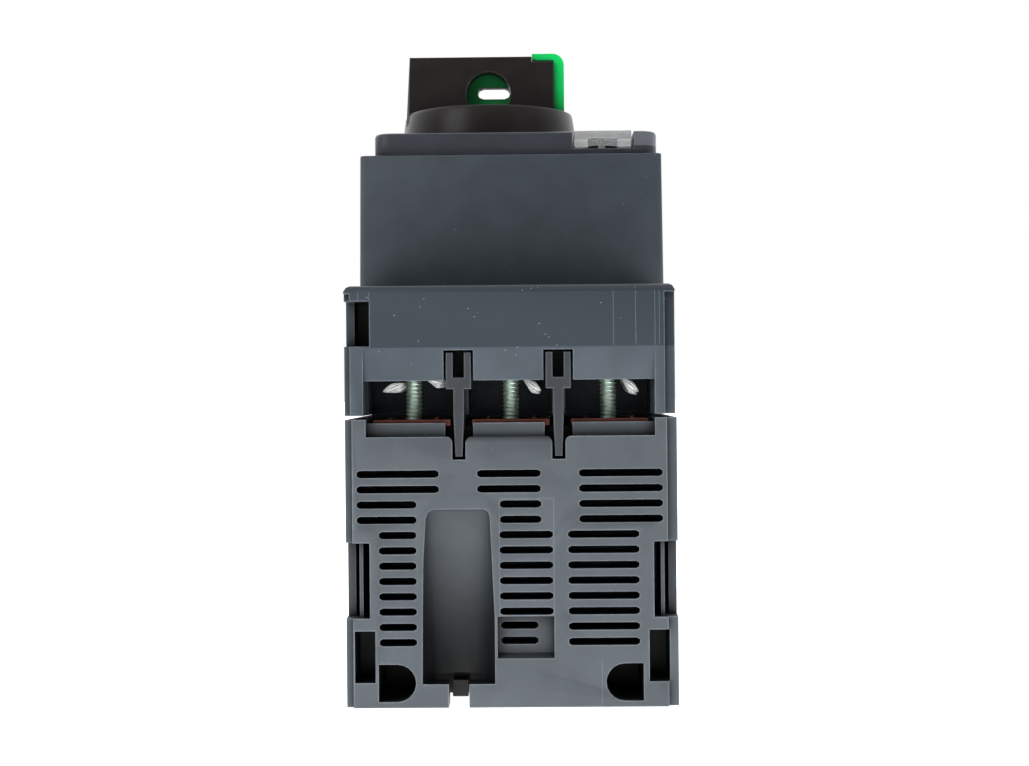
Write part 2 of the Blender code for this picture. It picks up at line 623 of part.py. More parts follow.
def terminals(end_name, side):
    """Clamping screw and pressure washer of each pole at one end."""
    y = side * TERMINAL_Y
    for number, x in enumerate(POLES, 1):
        mesh = bmesh.new()
        channel = [(x - 4.4 * MM, 42.4 * MM), (x - 3.6 * MM, 42.4 * MM),
                   (x - 3.6 * MM, 44.4 * MM), (x + 3.6 * MM, 44.4 * MM),
                   (x + 3.6 * MM, 42.4 * MM), (x + 4.4 * MM, 42.4 * MM),
                   (x + 4.4 * MM, 45.6 * MM), (x - 4.4 * MM, 45.6 * MM)]
        prism(mesh, channel, "Y", y - 4.0 * MM, y + 4.0 * MM)
        washer = piece(f"{end_name}_clamp_washer_{number}", mesh, ZINC_STEEL)
        mesh = bmesh.new()
        prism(mesh, circle((x, y), SHANK_RADIUS + 0.35 * MM, 12), "Z", 43.0 * MM, 47.0 * MM)
        tool(washer, mesh)

        profile = [(SHANK_RADIUS, 34.8 * MM), (SHANK_RADIUS, 46.0 * MM), (3.6 * MM, 46.0 * MM),
                   (3.6 * MM, 48.3 * MM), (3.0 * MM, 49.0 * MM)]
        screw = turned(f"{end_name}_terminal_screw_{number}", profile, (x, y), 16, ZINC_STEEL)
        mesh = bmesh.new()
        block(mesh, (x - 2.6 * MM, x + 2.6 * MM), (y - 0.5 * MM, y + 0.5 * MM),
              (47.6 * MM, 50.0 * MM))
        tool(screw, mesh)
        mesh = bmesh.new()
        block(mesh, (x - 0.5 * MM, x + 0.5 * MM), (y - 2.6 * MM, y + 2.6 * MM),
              (47.6 * MM, 50.0 * MM))
        tool(screw, mesh)


def phase_barriers(end_name, side):
    """Forked insulating tongues that hang between the poles of one end."""
    half = [(0.5, 33.9), (0.62, 36.5), (0.71, 39.6), (0.71, 43.05), (1.7, 43.05),
            (1.7, 48.0), (0.75, 48.0), (0.75, 44.6)]
    y = sorted((side * 44.2 * MM, side * 38.8 * MM))
    for number, x in enumerate(BARRIER_X, 1):
        outline = [(x + u * MM, v * MM) for u, v in half]
        outline += [(x - u * MM, v * MM) for u, v in reversed(half)]
        mesh = bmesh.new()
        prism(mesh, outline, "Y", y[0], y[1])
        piece(f"{end_name}_phase_barrier_{number}", mesh, DARK_CASE)


def conductors():
    """Copper from the terminals down to the fixed contacts and to the bimetals."""
    low, high = COPPER_LOW, COPPER_HIGH
    line = [(42.0 * MM, low), (42.0 * MM, high), (26.6 * MM, high), (26.6 * MM, 13.5 * MM),
            (19.4 * MM, 13.5 * MM), (19.4 * MM, 13.9 * MM), (16.4 * MM, 13.9 * MM),
            (16.4 * MM, 12.6 * MM), (27.5 * MM, 12.6 * MM), (27.5 * MM, low)]
    load = [(-42.0 * MM, low), (-42.0 * MM, high), (-27.4 * MM, high), (-27.4 * MM, 12.4 * MM),
            (-22.6 * MM, 12.4 * MM), (-22.6 * MM, 11.5 * MM), (-28.3 * MM, 11.5 * MM),
            (-28.3 * MM, low)]
    inner = [(-5.0 * MM, 12.6 * MM), (3.6 * MM, 12.6 * MM), (3.6 * MM, 13.9 * MM),
             (0.6 * MM, 13.9 * MM), (0.6 * MM, 13.5 * MM), (-5.0 * MM, 13.5 * MM)]
    for number, x in enumerate(POLES, 1):
        for name, outline, y in ((f"line_conductor_{number}", line, TERMINAL_Y),
                                 (f"load_terminal_plate_{number}", load, -TERMINAL_Y)):
            mesh = bmesh.new()
            prism(mesh, outline, "X", x - COPPER_HALF_WIDTH, x + COPPER_HALF_WIDTH)
            bar = piece(name, mesh, COPPER)
            mesh = bmesh.new()
            prism(mesh, circle((x, y), SHANK_RADIUS + 0.35 * MM, 12), "Z",
                  37.0 * MM, 40.0 * MM)
            tool(bar, mesh)
        mesh = bmesh.new()
        prism(mesh, inner, "X", x - 3.0 * MM, x + 3.0 * MM)
        piece(f"fixed_contact_{number}", mesh, COPPER)


# ------------------------------------------------------------ inside the poles
def arc_chutes():
    """Stack of splitter plates on a back plate, beside each pair of contacts."""
    for number, x in enumerate(POLES, 1):
        outline = [(25.8 * MM, 15.0 * MM), (25.8 * MM, 32.6 * MM)]
        for plate in range(7):
            top = (32.6 - plate * 2.8) * MM
            outline += [(20.4 * MM, top), (20.4 * MM, top - 0.8 * MM)]
            if plate < 6:
                outline += [(25.0 * MM, top - 0.8 * MM), (25.0 * MM, top - 2.8 * MM)]
        mesh = bmesh.new()
        prism(mesh, outline, "X", x - 4.8 * MM, x + 4.8 * MM)
        piece(f"arc_chute_{number}", mesh, BRIGHT_STEEL)


def magnet_coils():
    """Winding on its former around each plunger."""
    turns = 6
    for number, x in enumerate(POLES, 1):
        profile = [(2.7 * MM, 14.2 * MM), (5.4 * MM, 14.2 * MM), (5.4 * MM, 15.2 * MM)]
        for turn in range(turns):
            z = 15.2 + turn * 2.5
            profile += [(4.4 * MM, (z + 0.2) * MM), (5.2 * MM, (z + 0.8) * MM),
                        (5.2 * MM, (z + 1.7) * MM)]
        profile += [(4.4 * MM, 30.3 * MM), (5.4 * MM, 30.4 * MM), (5.4 * MM, 31.4 * MM),
                    (2.7 * MM, 31.4 * MM)]
        mesh = bmesh.new()
        lathe(mesh, profile, (x, -10.0 * MM), 12)
        piece(f"magnet_coil_{number}", mesh, COPPER)


def plungers():
    for number, x in enumerate(POLES, 1):
        mesh = bmesh.new()
        prism(mesh, circle((x, -10.0 * MM), 2.3 * MM, 12), "Z", 16.0 * MM, 40.0 * MM)
        piece(f"magnet_plunger_{number}", mesh, BRIGHT_STEEL, (x, -10.0 * MM, 0.0))


def bimetals():
    """Upright strips, fixed at the foot, that bow when the motor draws too much."""
    for number, x in enumerate(POLES, 1):
        mesh = bmesh.new()
        block(mesh, (x - 2.5 * MM, x + 2.5 * MM), (-24.4 * MM, -23.6 * MM),
              (12.8 * MM, 42.0 * MM))
        piece(f"bimetal_strip_{number}", mesh, BIMETAL_ALLOY, (x, -24.0 * MM, 12.8 * MM))


def contact_carrier():
    """Cross bar with one windowed arm for each pole; it lifts the three bridges."""
    mesh = bmesh.new()
    block(mesh, (-19.6 * MM, 19.6 * MM), (6.0 * MM, 14.0 * MM), (44.0 * MM, 48.6 * MM))
    carrier = piece("contact_carrier", mesh, INNER_PLASTIC)
    mesh = bmesh.new()
    for x in POLES:
        block(mesh, (x - 4.5 * MM, x + 4.5 * MM), (7.0 * MM, 13.0 * MM),
              (15.6 * MM, 45.0 * MM))
    tool(carrier, mesh, "UNION")
    mesh = bmesh.new()
    for x in POLES:
        block(mesh, (x - 3.0 * MM, x + 3.0 * MM), (5.0 * MM, 15.0 * MM),
              (16.7 * MM, 28.0 * MM))
    tool(carrier, mesh)
    for number, x in enumerate(POLES, 1):
        bridge = [(1.0 * MM, 16.6 * MM), (3.2 * MM, 16.6 * MM), (3.6 * MM, 17.0 * MM),
                  (16.4 * MM, 17.0 * MM), (16.8 * MM, 16.6 * MM), (19.0 * MM, 16.6 * MM),
                  (19.0 * MM, 18.2 * MM), (1.0 * MM, 18.2 * MM)]
        mesh = bmesh.new()
        prism(mesh, bridge, "X", x - 2.6 * MM, x + 2.6 * MM)
        piece(f"moving_contact_{number}", mesh, COPPER)
        mesh = bmesh.new()
        helix(mesh, (x, CONTACT_Y), 2.0 * MM, 0.6 * MM, 18.5 * MM, 27.7 * MM, 4, 9)
        piece(f"contact_spring_{number}", mesh, SPRING_STEEL)


# ------------------------------------------------------------- trip mechanism
TRIP_AXIS = (-19.0 * MM, 50.0 * MM)
LEVER_AXIS = (-4.0 * MM, 55.0 * MM)


def trip_bar():
    """Insulating bar across the poles; strips, plungers and test button turn it."""
    y, z = TRIP_AXIS
    mesh = bmesh.new()
    prism(mesh, circle((y, z), 1.6 * MM, 12), "X", -19.8 * MM, 19.8 * MM)
    bar = piece("trip_bar", mesh, WHITE_PLASTIC, (0.0, y, z))
    mesh = bmesh.new()
    for x in POLES:
        prism(mesh, rectangle((y - 0.7 * MM, y + 0.7 * MM), (z - 8.0 * MM, z)), "X",
              x - 2.0 * MM, x + 2.0 * MM)
    tool(bar, mesh, "UNION")


def latch_lever():
    """Steel lever that the trip bar releases to drop the contacts open."""
    y, z = LEVER_AXIS
    mesh = bmesh.new()
    prism(mesh, circle((y, z), 1.9 * MM, 12), "X", -14.8 * MM, 7.0 * MM)
    lever = piece("latch_lever", mesh, BRIGHT_STEEL, (0.0, y, z))
    mesh = bmesh.new()
    blade = rectangle((y - 8.0 * MM, y), (z - 0.8 * MM, z + 0.8 * MM))
    prism(mesh, blade, "X", -9.0 * MM, 3.0 * MM)
    tool(lever, mesh, "UNION")


def latch_frame():
    """Bent steel bridge that carries the lever and the drive cam."""
    outline = [(-17.2 * MM, 50.2 * MM), (-15.9 * MM, 50.2 * MM), (-15.9 * MM, 59.8 * MM),
               (7.9 * MM, 59.8 * MM), (7.9 * MM, 50.2 * MM), (9.2 * MM, 50.2 * MM),
               (9.2 * MM, 61.0 * MM), (-17.2 * MM, 61.0 * MM)]
    mesh = bmesh.new()
    prism(mesh, outline, "Y", -8.0 * MM, 14.0 * MM)
    piece("latch_frame", mesh, ZINC_STEEL)


def main_spring():
    """Opening spring between the carrier and the latch frame."""
    mesh = bmesh.new()
    helix(mesh, (KNOB_X, CONTACT_Y), 2.4 * MM, 0.7 * MM, 48.9 * MM, 59.5 * MM, 6, 12)
    piece("opening_spring", mesh, SPRING_STEEL, (KNOB_X, CONTACT_Y, 59.5 * MM))


# ------------------------------------------------------------------- rail clip
CLIP_X = -7.26 * MM


def rail_clip():
    """Sliding foot that grips the lower flange of the rail, with its bent spring."""
    profile = [(-10.9 * MM, 0.6 * MM), (-3.6 * MM, 0.6 * MM), (-3.6 * MM, 1.5 * MM),
               (-2.2 * MM, 1.5 * MM), (-2.2 * MM, 3.4 * MM), (-12.3 * MM, 3.4 * MM),
               (-12.3 * MM, 1.5 * MM), (-10.9 * MM, 1.5 * MM)]
    mesh = bmesh.new()
    prism(mesh, profile, "Y", -36.5 * MM, -16.1 * MM)
    clip = piece("rail_clip", mesh, BLACK_PLASTIC)
    mesh = bmesh.new()
    block(mesh, (CLIP_X - 1.1 * MM, CLIP_X + 1.1 * MM), (-39.4 * MM, -35.0 * MM),
          (0.6 * MM, 2.9 * MM))
    tool(clip, mesh, "UNION")
    mesh = bmesh.new()
    block(mesh, (CLIP_X - 2.4 * MM, CLIP_X + 2.4 * MM), (-33.5 * MM, -23.5 * MM),
          (-MM, 5.0 * MM))
    tool(clip, mesh)

    # Folded strip standing in the window of the clip.
    folds = 6
    pitch = 1.7 * MM
    thickness = 0.5 * MM
    reach = 2.0 * MM
    start = -33.0 * MM
    left = [(CLIP_X - reach, start)]
    right = [(CLIP_X + reach, start)]
    for fold in range(folds - 1):
        low = start + fold * pitch + thickness
        high = start + (fold + 1) * pitch
        edge, side = (left, -1.0) if fold % 2 == 0 else (right, 1.0)
        outer = CLIP_X + side * reach
        inner = CLIP_X - side * (reach - thickness)
        edge += [(outer, low), (inner, low), (inner, high), (outer, high)]
    end = start + (folds - 1) * pitch + thickness
    left.append((CLIP_X - reach, end))
    right.append((CLIP_X + reach, end))
    mesh = bmesh.new()
    prism(mesh, left + right[::-1], "Z", 1.0 * MM, 3.2 * MM)
    piece("clip_spring", mesh, SPRING_STEEL)


rear_housing()
front_housing()
nose_cover()
front_plate()
setting_cover()
setting_dial()
test_button()
handle()
padlock_slide()
knob_shaft()
for end_name, side in (("load", -1.0), ("line", 1.0)):
    terminals(end_name, side)
    phase_barriers(end_name, side)
conductors()
arc_chutes()
magnet_coils()
plungers()
bimetals()
contact_carrier()
trip_bar()
latch_lever()
latch_frame()
main_spring()
rail_clip()
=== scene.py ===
import math

import bmesh
import bpy
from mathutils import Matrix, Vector


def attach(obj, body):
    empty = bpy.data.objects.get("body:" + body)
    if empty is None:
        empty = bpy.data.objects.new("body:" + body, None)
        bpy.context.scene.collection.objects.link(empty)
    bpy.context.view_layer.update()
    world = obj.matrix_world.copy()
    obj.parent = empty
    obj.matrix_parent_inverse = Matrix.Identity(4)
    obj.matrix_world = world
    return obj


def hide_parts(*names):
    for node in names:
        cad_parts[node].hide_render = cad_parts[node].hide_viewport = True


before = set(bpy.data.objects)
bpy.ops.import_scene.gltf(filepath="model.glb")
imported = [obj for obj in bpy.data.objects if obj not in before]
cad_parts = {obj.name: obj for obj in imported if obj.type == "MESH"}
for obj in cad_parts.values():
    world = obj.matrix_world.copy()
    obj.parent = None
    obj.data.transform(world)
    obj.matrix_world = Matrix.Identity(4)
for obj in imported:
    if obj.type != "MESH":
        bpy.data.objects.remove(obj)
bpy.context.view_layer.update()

MM = 0.001

# ------------------------------------------------------------------ studio
# The breaker stands on its rear face on a lit white table, in front of a white wall. The
# room is dark on the camera's side, so its front is lit by one soft box from the upper left.
LENS_DISTANCE = 277.5 * MM
LENS_HEIGHT = 43.8 * MM

scene = bpy.context.scene
scene.view_settings.view_transform = "Standard"

camera_data = bpy.data.cameras.new("camera")
camera_data.sensor_width = 36.0
camera_data.lens = 60.4
camera_data.clip_start = 0.005
camera = bpy.data.objects.new("camera", camera_data)
camera.location = (3.6 * MM, -LENS_DISTANCE, LENS_HEIGHT)
camera.rotation_euler = (math.radians(90.0), math.radians(0.5), math.radians(0.74))
scene.collection.objects.link(camera)
scene.camera = camera

world = bpy.data.worlds.new("white_room")
world.use_nodes = True
room = world.node_tree
room_light = room.nodes["Background"]
direction = room.nodes.new("ShaderNodeTexCoord")
split = room.nodes.new("ShaderNodeSeparateXYZ")
behind = room.nodes.new("ShaderNodeMapRange")
behind.inputs["From Min"].default_value = -0.45
behind.inputs["From Max"].default_value = 0.7
behind.inputs["To Min"].default_value = 0.13
behind.inputs["To Max"].default_value = 1.5
above = room.nodes.new("ShaderNodeMapRange")
above.inputs["From Min"].default_value = 0.2
above.inputs["From Max"].default_value = 1.0
above.inputs["To Min"].default_value = 0.0
above.inputs["To Max"].default_value = 0.7
both_sides = room.nodes.new("ShaderNodeMath")
both_sides.operation = "ADD"
ray = room.nodes.new("ShaderNodeLightPath")
strength = room.nodes.new("ShaderNodeMix")
strength.inputs["B"].default_value = 1.0
room.links.new(direction.outputs["Generated"], split.inputs["Vector"])
room.links.new(split.outputs["Y"], behind.inputs["Value"])
room.links.new(split.outputs["Z"], above.inputs["Value"])
room.links.new(behind.outputs["Result"], both_sides.inputs[0])
room.links.new(above.outputs["Result"], both_sides.inputs[1])
room.links.new(both_sides.outputs["Value"], strength.inputs["A"])
room.links.new(ray.outputs["Is Camera Ray"], strength.inputs["Factor"])
room.links.new(strength.outputs["Result"], room_light.inputs["Strength"])
room_light.inputs["Color"].default_value = (1.0, 1.0, 1.0, 1.0)
scene.world = world


def soft_box(name, place, aim, size, power):
    data = bpy.data.lights.new(name, "AREA")
    data.shape = "RECTANGLE"
    data.size, data.size_y = size
    data.energy = power
    lamp = bpy.data.objects.new(name, data)
    lamp.location = place
    lamp.rotation_euler = (Vector(aim) - Vector(place)).to_track_quat("-Z", "Y").to_euler()
    scene.collection.objects.link(lamp)


soft_box("key_box", (-0.42, -0.40, 0.30), (0.0, 0.0, 0.04), (0.30, 0.30), 1.0)
soft_box("fill_box", (0.50, -0.45, 0.25), (0.0, 0.0, 0.05), (0.30, 0.40), 0.15)

# The table is lit from close by, so it glows near the breaker and fades away from it.
TABLE_REACH = (0.04, 0.40)
TABLE_GLOW = 2.0
table = bpy.data.meshes.new("white_table")
table.from_pydata([(-4.0, -4.0, 0.0), (4.0, -4.0, 0.0), (4.0, 4.0, 0.0), (-4.0, 4.0, 0.0)], [],
                  [(0, 1, 2, 3)])
table_paint = bpy.data.materials.new("lit_white_table")
table_paint.use_nodes = True
paint = table_paint.node_tree
table_shader = paint.nodes["Principled BSDF"]
table_shader.inputs["Base Color"].default_value = (0.8, 0.8, 0.8, 1.0)
table_shader.inputs["Roughness"].default_value = 0.7
table_shader.inputs["Emission Color"].default_value = (1.0, 1.0, 1.0, 1.0)
spot = paint.nodes.new("ShaderNodeTexCoord")
away = paint.nodes.new("ShaderNodeVectorMath")
away.operation = "LENGTH"
fade = paint.nodes.new("ShaderNodeMapRange")
fade.inputs["From Min"].default_value = TABLE_REACH[0]
fade.inputs["From Max"].default_value = TABLE_REACH[1]
fade.inputs["To Min"].default_value = TABLE_GLOW
fade.inputs["To Max"].default_value = 0.05
eye = paint.nodes.new("ShaderNodeLightPath")
glow = paint.nodes.new("ShaderNodeMix")
glow.inputs["B"].default_value = 1.0
paint.links.new(spot.outputs["Object"], away.inputs[0])
paint.links.new(away.outputs["Value"], fade.inputs["Value"])
paint.links.new(fade.outputs["Result"], glow.inputs["A"])
paint.links.new(eye.outputs["Is Camera Ray"], glow.inputs["Factor"])
paint.links.new(glow.outputs["Result"], table_shader.inputs["Emission Strength"])
table.materials.append(table_paint)
floor = bpy.data.objects.new("white_table", table)
scene.collection.objects.link(floor)


# ------------------------------------------------------------ rear housing
# The rear housing is glass-filled polyamide, moulded grey with a matt skin. Slides in the
# mould leave its vent slots, and a round core leaves the scooped driver channel.
def sockets(group, direction, kind, names):
    for name, value in names:
        made = group.interface.new_socket(name=name, in_out=direction, socket_type=kind)
        if value is not None:
            made.default_value = value


def node(tree, kind, place, **values):
    made = tree.nodes.new(kind)
    made.location = place
    for key, value in values.items():
        setattr(made, key, value)
    return made


def grain_group():
    """Height of a sparked mould skin and a slow mottling of its shade."""
    group = bpy.data.node_groups.new("mould_grain", "ShaderNodeTree")
    sockets(group, "INPUT", "NodeSocketFloat", [("Grain per metre", 5200.0),
                                                ("Mottle per metre", 260.0)])
    sockets(group, "OUTPUT", "NodeSocketFloat", [("Height", None), ("Mottle", None)])
    into = node(group, "NodeGroupInput", (-700, 0))
    out = node(group, "NodeGroupOutput", (400, 0))
    where = node(group, "ShaderNodeTexCoord", (-700, -250))
    fine = node(group, "ShaderNodeTexNoise", (-400, 150))
    fine.inputs["Detail"].default_value = 3.0
    fine.inputs["Roughness"].default_value = 0.65
    slow = node(group, "ShaderNodeTexNoise", (-400, -200))
    slow.inputs["Detail"].default_value = 4.0
    link = group.links.new
    link(where.outputs["Object"], fine.inputs["Vector"])
    link(where.outputs["Object"], slow.inputs["Vector"])
    link(into.outputs["Grain per metre"], fine.inputs["Scale"])
    link(into.outputs["Mottle per metre"], slow.inputs["Scale"])
    link(fine.outputs["Fac"], out.inputs["Height"])
    link(slow.outputs["Fac"], out.inputs["Mottle"])
    return group


def dust_group():
    """Mask of sparse pale specks lying on a surface."""
    group = bpy.data.node_groups.new("dust_specks", "ShaderNodeTree")
    sockets(group, "INPUT", "NodeSocketFloat", [("Specks per metre", 900.0),
                                                ("Speck size", 0.05), ("Amount", 0.5)])
    sockets(group, "OUTPUT", "NodeSocketFloat", [("Mask", None)])
    into = node(group, "NodeGroupInput", (-900, 0))
    out = node(group, "NodeGroupOutput", (500, 0))
    where = node(group, "ShaderNodeTexCoord", (-900, -250))
    cells = node(group, "ShaderNodeTexVoronoi", (-600, 0))
    patches = node(group, "ShaderNodeTexNoise", (-600, -300))
    patches.inputs["Scale"].default_value = 220.0
    near = node(group, "ShaderNodeMath", (-300, 0), operation="LESS_THAN")
    few = node(group, "ShaderNodeMath", (-300, -300), operation="GREATER_THAN")
    few.inputs[1].default_value = 0.52
    both = node(group, "ShaderNodeMath", (0, 0), operation="MULTIPLY")
    scaled = node(group, "ShaderNodeMath", (250, 0), operation="MULTIPLY")
    link = group.links.new
    link(where.outputs["Object"], cells.inputs["Vector"])
    link(where.outputs["Object"], patches.inputs["Vector"])
    link(into.outputs["Specks per metre"], cells.inputs["Scale"])
    link(cells.outputs["Distance"], near.inputs[0])
    link(into.outputs["Speck size"], near.inputs[1])
    link(patches.outputs["Fac"], few.inputs[0])
    link(near.outputs["Value"], both.inputs[0])
    link(few.outputs["Value"], both.inputs[1])
    link(both.outputs["Value"], scaled.inputs[0])
    link(into.outputs["Amount"], scaled.inputs[1])
    link(scaled.outputs["Value"], out.inputs["Mask"])
    return group


def edge_highlight_group():
    """Mask of a painted highlight along rounded corners, broken up by noise."""
    group = bpy.data.node_groups.new("painted_edge_highlight", "ShaderNodeTree")
    sockets(group, "INPUT", "NodeSocketFloat", [("Amount", 0.4), ("Break-up per metre", 900.0),
                                                ("Corner width", 0.00030)])
    sockets(group, "OUTPUT", "NodeSocketFloat", [("Mask", None)])
    into = node(group, "NodeGroupInput", (-900, 0))
    out = node(group, "NodeGroupOutput", (600, 0))
    shape = node(group, "ShaderNodeNewGeometry", (-900, 250))
    where = node(group, "ShaderNodeTexCoord", (-900, -250))
    patches = node(group, "ShaderNodeTexNoise", (-600, -200))
    rounded = node(group, "ShaderNodeBevel", (-900, 500), samples=4)
    turned_by = node(group, "ShaderNodeVectorMath", (-600, 400), operation="DOT_PRODUCT")
    ridge = node(group, "ShaderNodeMapRange", (-300, 250))
    ridge.inputs["From Min"].default_value = 0.985
    ridge.inputs["From Max"].default_value = 0.88
    ridge.inputs["To Max"].default_value = 2.2
    both = node(group, "ShaderNodeMath", (0, 0), operation="MULTIPLY")
    scaled = node(group, "ShaderNodeMath", (300, 0), operation="MULTIPLY", use_clamp=True)
    link = group.links.new
    link(into.outputs["Corner width"], rounded.inputs["Radius"])
    link(rounded.outputs["Normal"], turned_by.inputs[0])
    link(shape.outputs["Normal"], turned_by.inputs[1])
    link(turned_by.outputs["Value"], ridge.inputs["Value"])
    link(where.outputs["Object"], patches.inputs["Vector"])
    link(into.outputs["Break-up per metre"], patches.inputs["Scale"])
    link(ridge.outputs["Result"], both.inputs[0])
    link(patches.outputs["Fac"], both.inputs[1])
    link(both.outputs["Value"], scaled.inputs[0])
    link(into.outputs["Amount"], scaled.inputs[1])
    link(scaled.outputs["Value"], out.inputs["Mask"])
    return group


def shade_mask_group(name, own_shape_only):
    """Mask of painted shade in slots, pockets and between pieces, where less light reaches."""
    group = bpy.data.node_groups.new(name, "ShaderNodeTree")
    sockets(group, "INPUT", "NodeSocketFloat", [("Amount", 0.7), ("Reach", 0.006),
                                                ("Open level", 0.97)])
    sockets(group, "OUTPUT", "NodeSocketFloat", [("Mask", None)])
    into = node(group, "NodeGroupInput", (-700, 0))
    out = node(group, "NodeGroupOutput", (400, 0))
    hollow = node(group, "ShaderNodeAmbientOcclusion", (-450, 0), samples=8,
                  only_local=own_shape_only)
    ramp = node(group, "ShaderNodeMapRange", (-200, 0))
    ramp.inputs["From Min"].default_value = 0.35
    ramp.inputs["To Min"].default_value = 1.0
    ramp.inputs["To Max"].default_value = 0.0
    scaled = node(group, "ShaderNodeMath", (100, 0), operation="MULTIPLY")
    link = group.links.new
    link(into.outputs["Reach"], hollow.inputs["Distance"])
    link(hollow.outputs["AO"], ramp.inputs["Value"])
    link(into.outputs["Open level"], ramp.inputs["From Max"])
    link(ramp.outputs["Result"], scaled.inputs[0])
    link(into.outputs["Amount"], scaled.inputs[1])
    link(scaled.outputs["Value"], out.inputs["Mask"])
    return group


GRAIN = grain_group()
DUST = dust_group()
EDGE_HIGHLIGHT = edge_highlight_group()
# Masks of painted shade in hollows: one within each piece, one also under other pieces.
POCKET_SHADE = shade_mask_group("painted_pocket_shade", True)
SHELTERED_SHADE = shade_mask_group("painted_sheltered_shade", False)


def pale_band_group(name, lines):
    """Mask of pale bands on a face: the fine lines that the edges of mould inserts leave, and
    wider bands of painted light.

    Each line is ("X" or "Z", its place, where it starts, where it ends) in millimetres: an
    X line stands at one x and runs in z, and a Z line lies at one z and runs in x.
    """
    group = bpy.data.node_groups.new(name, "ShaderNodeTree")
    sockets(group, "INPUT", "NodeSocketFloat", [("Line width", 0.00012), ("Amount", 0.3)])
    sockets(group, "OUTPUT", "NodeSocketFloat", [("Mask", None)])
    into = node(group, "NodeGroupInput", (-900, 0))
    out = node(group, "NodeGroupOutput", (700, 0))
    where = node(group, "ShaderNodeTexCoord", (-900, 300))
    split = node(group, "ShaderNodeSeparateXYZ", (-700, 300))
    half = node(group, "ShaderNodeMath", (-700, -100), operation="MULTIPLY")
    half.inputs[1].default_value = 0.5
    link = group.links.new
    link(where.outputs["Object"], split.inputs["Vector"])
    link(into.outputs["Line width"], half.inputs[0])
    total = None
    for index, (axis, place, start, end) in enumerate(lines):
        row = -index * 200
        on = node(group, "ShaderNodeMath", (-400, row), operation="COMPARE")
        on.inputs[1].default_value = place * MM
        along = node(group, "ShaderNodeMath", (-400, row - 90), operation="COMPARE")
        along.inputs[1].default_value = (start + end) / 2.0 * MM
        along.inputs[2].default_value = (end - start) / 2.0 * MM
        both = node(group, "ShaderNodeMath", (-200, row), operation="MULTIPLY")
        link(split.outputs[axis], on.inputs[0])
        link(half.outputs["Value"], on.inputs[2])
        link(split.outputs["Z" if axis == "X" else "X"], along.inputs[0])
        link(on.outputs["Value"], both.inputs[0])
        link(along.outputs["Value"], both.inputs[1])
        if total:
            joined = node(group, "ShaderNodeMath", (0, row), operation="MAXIMUM")
            link(total, joined.inputs[0])
            link(both.outputs["Value"], joined.inputs[1])
            total = joined.outputs["Value"]
        else:
            total = both.outputs["Value"]
    scaled = node(group, "ShaderNodeMath", (400, 0), operation="MULTIPLY")
    link(total, scaled.inputs[0])
    link(into.outputs["Amount"], scaled.inputs[1])
    link(scaled.outputs["Value"], out.inputs["Mask"])
    return group


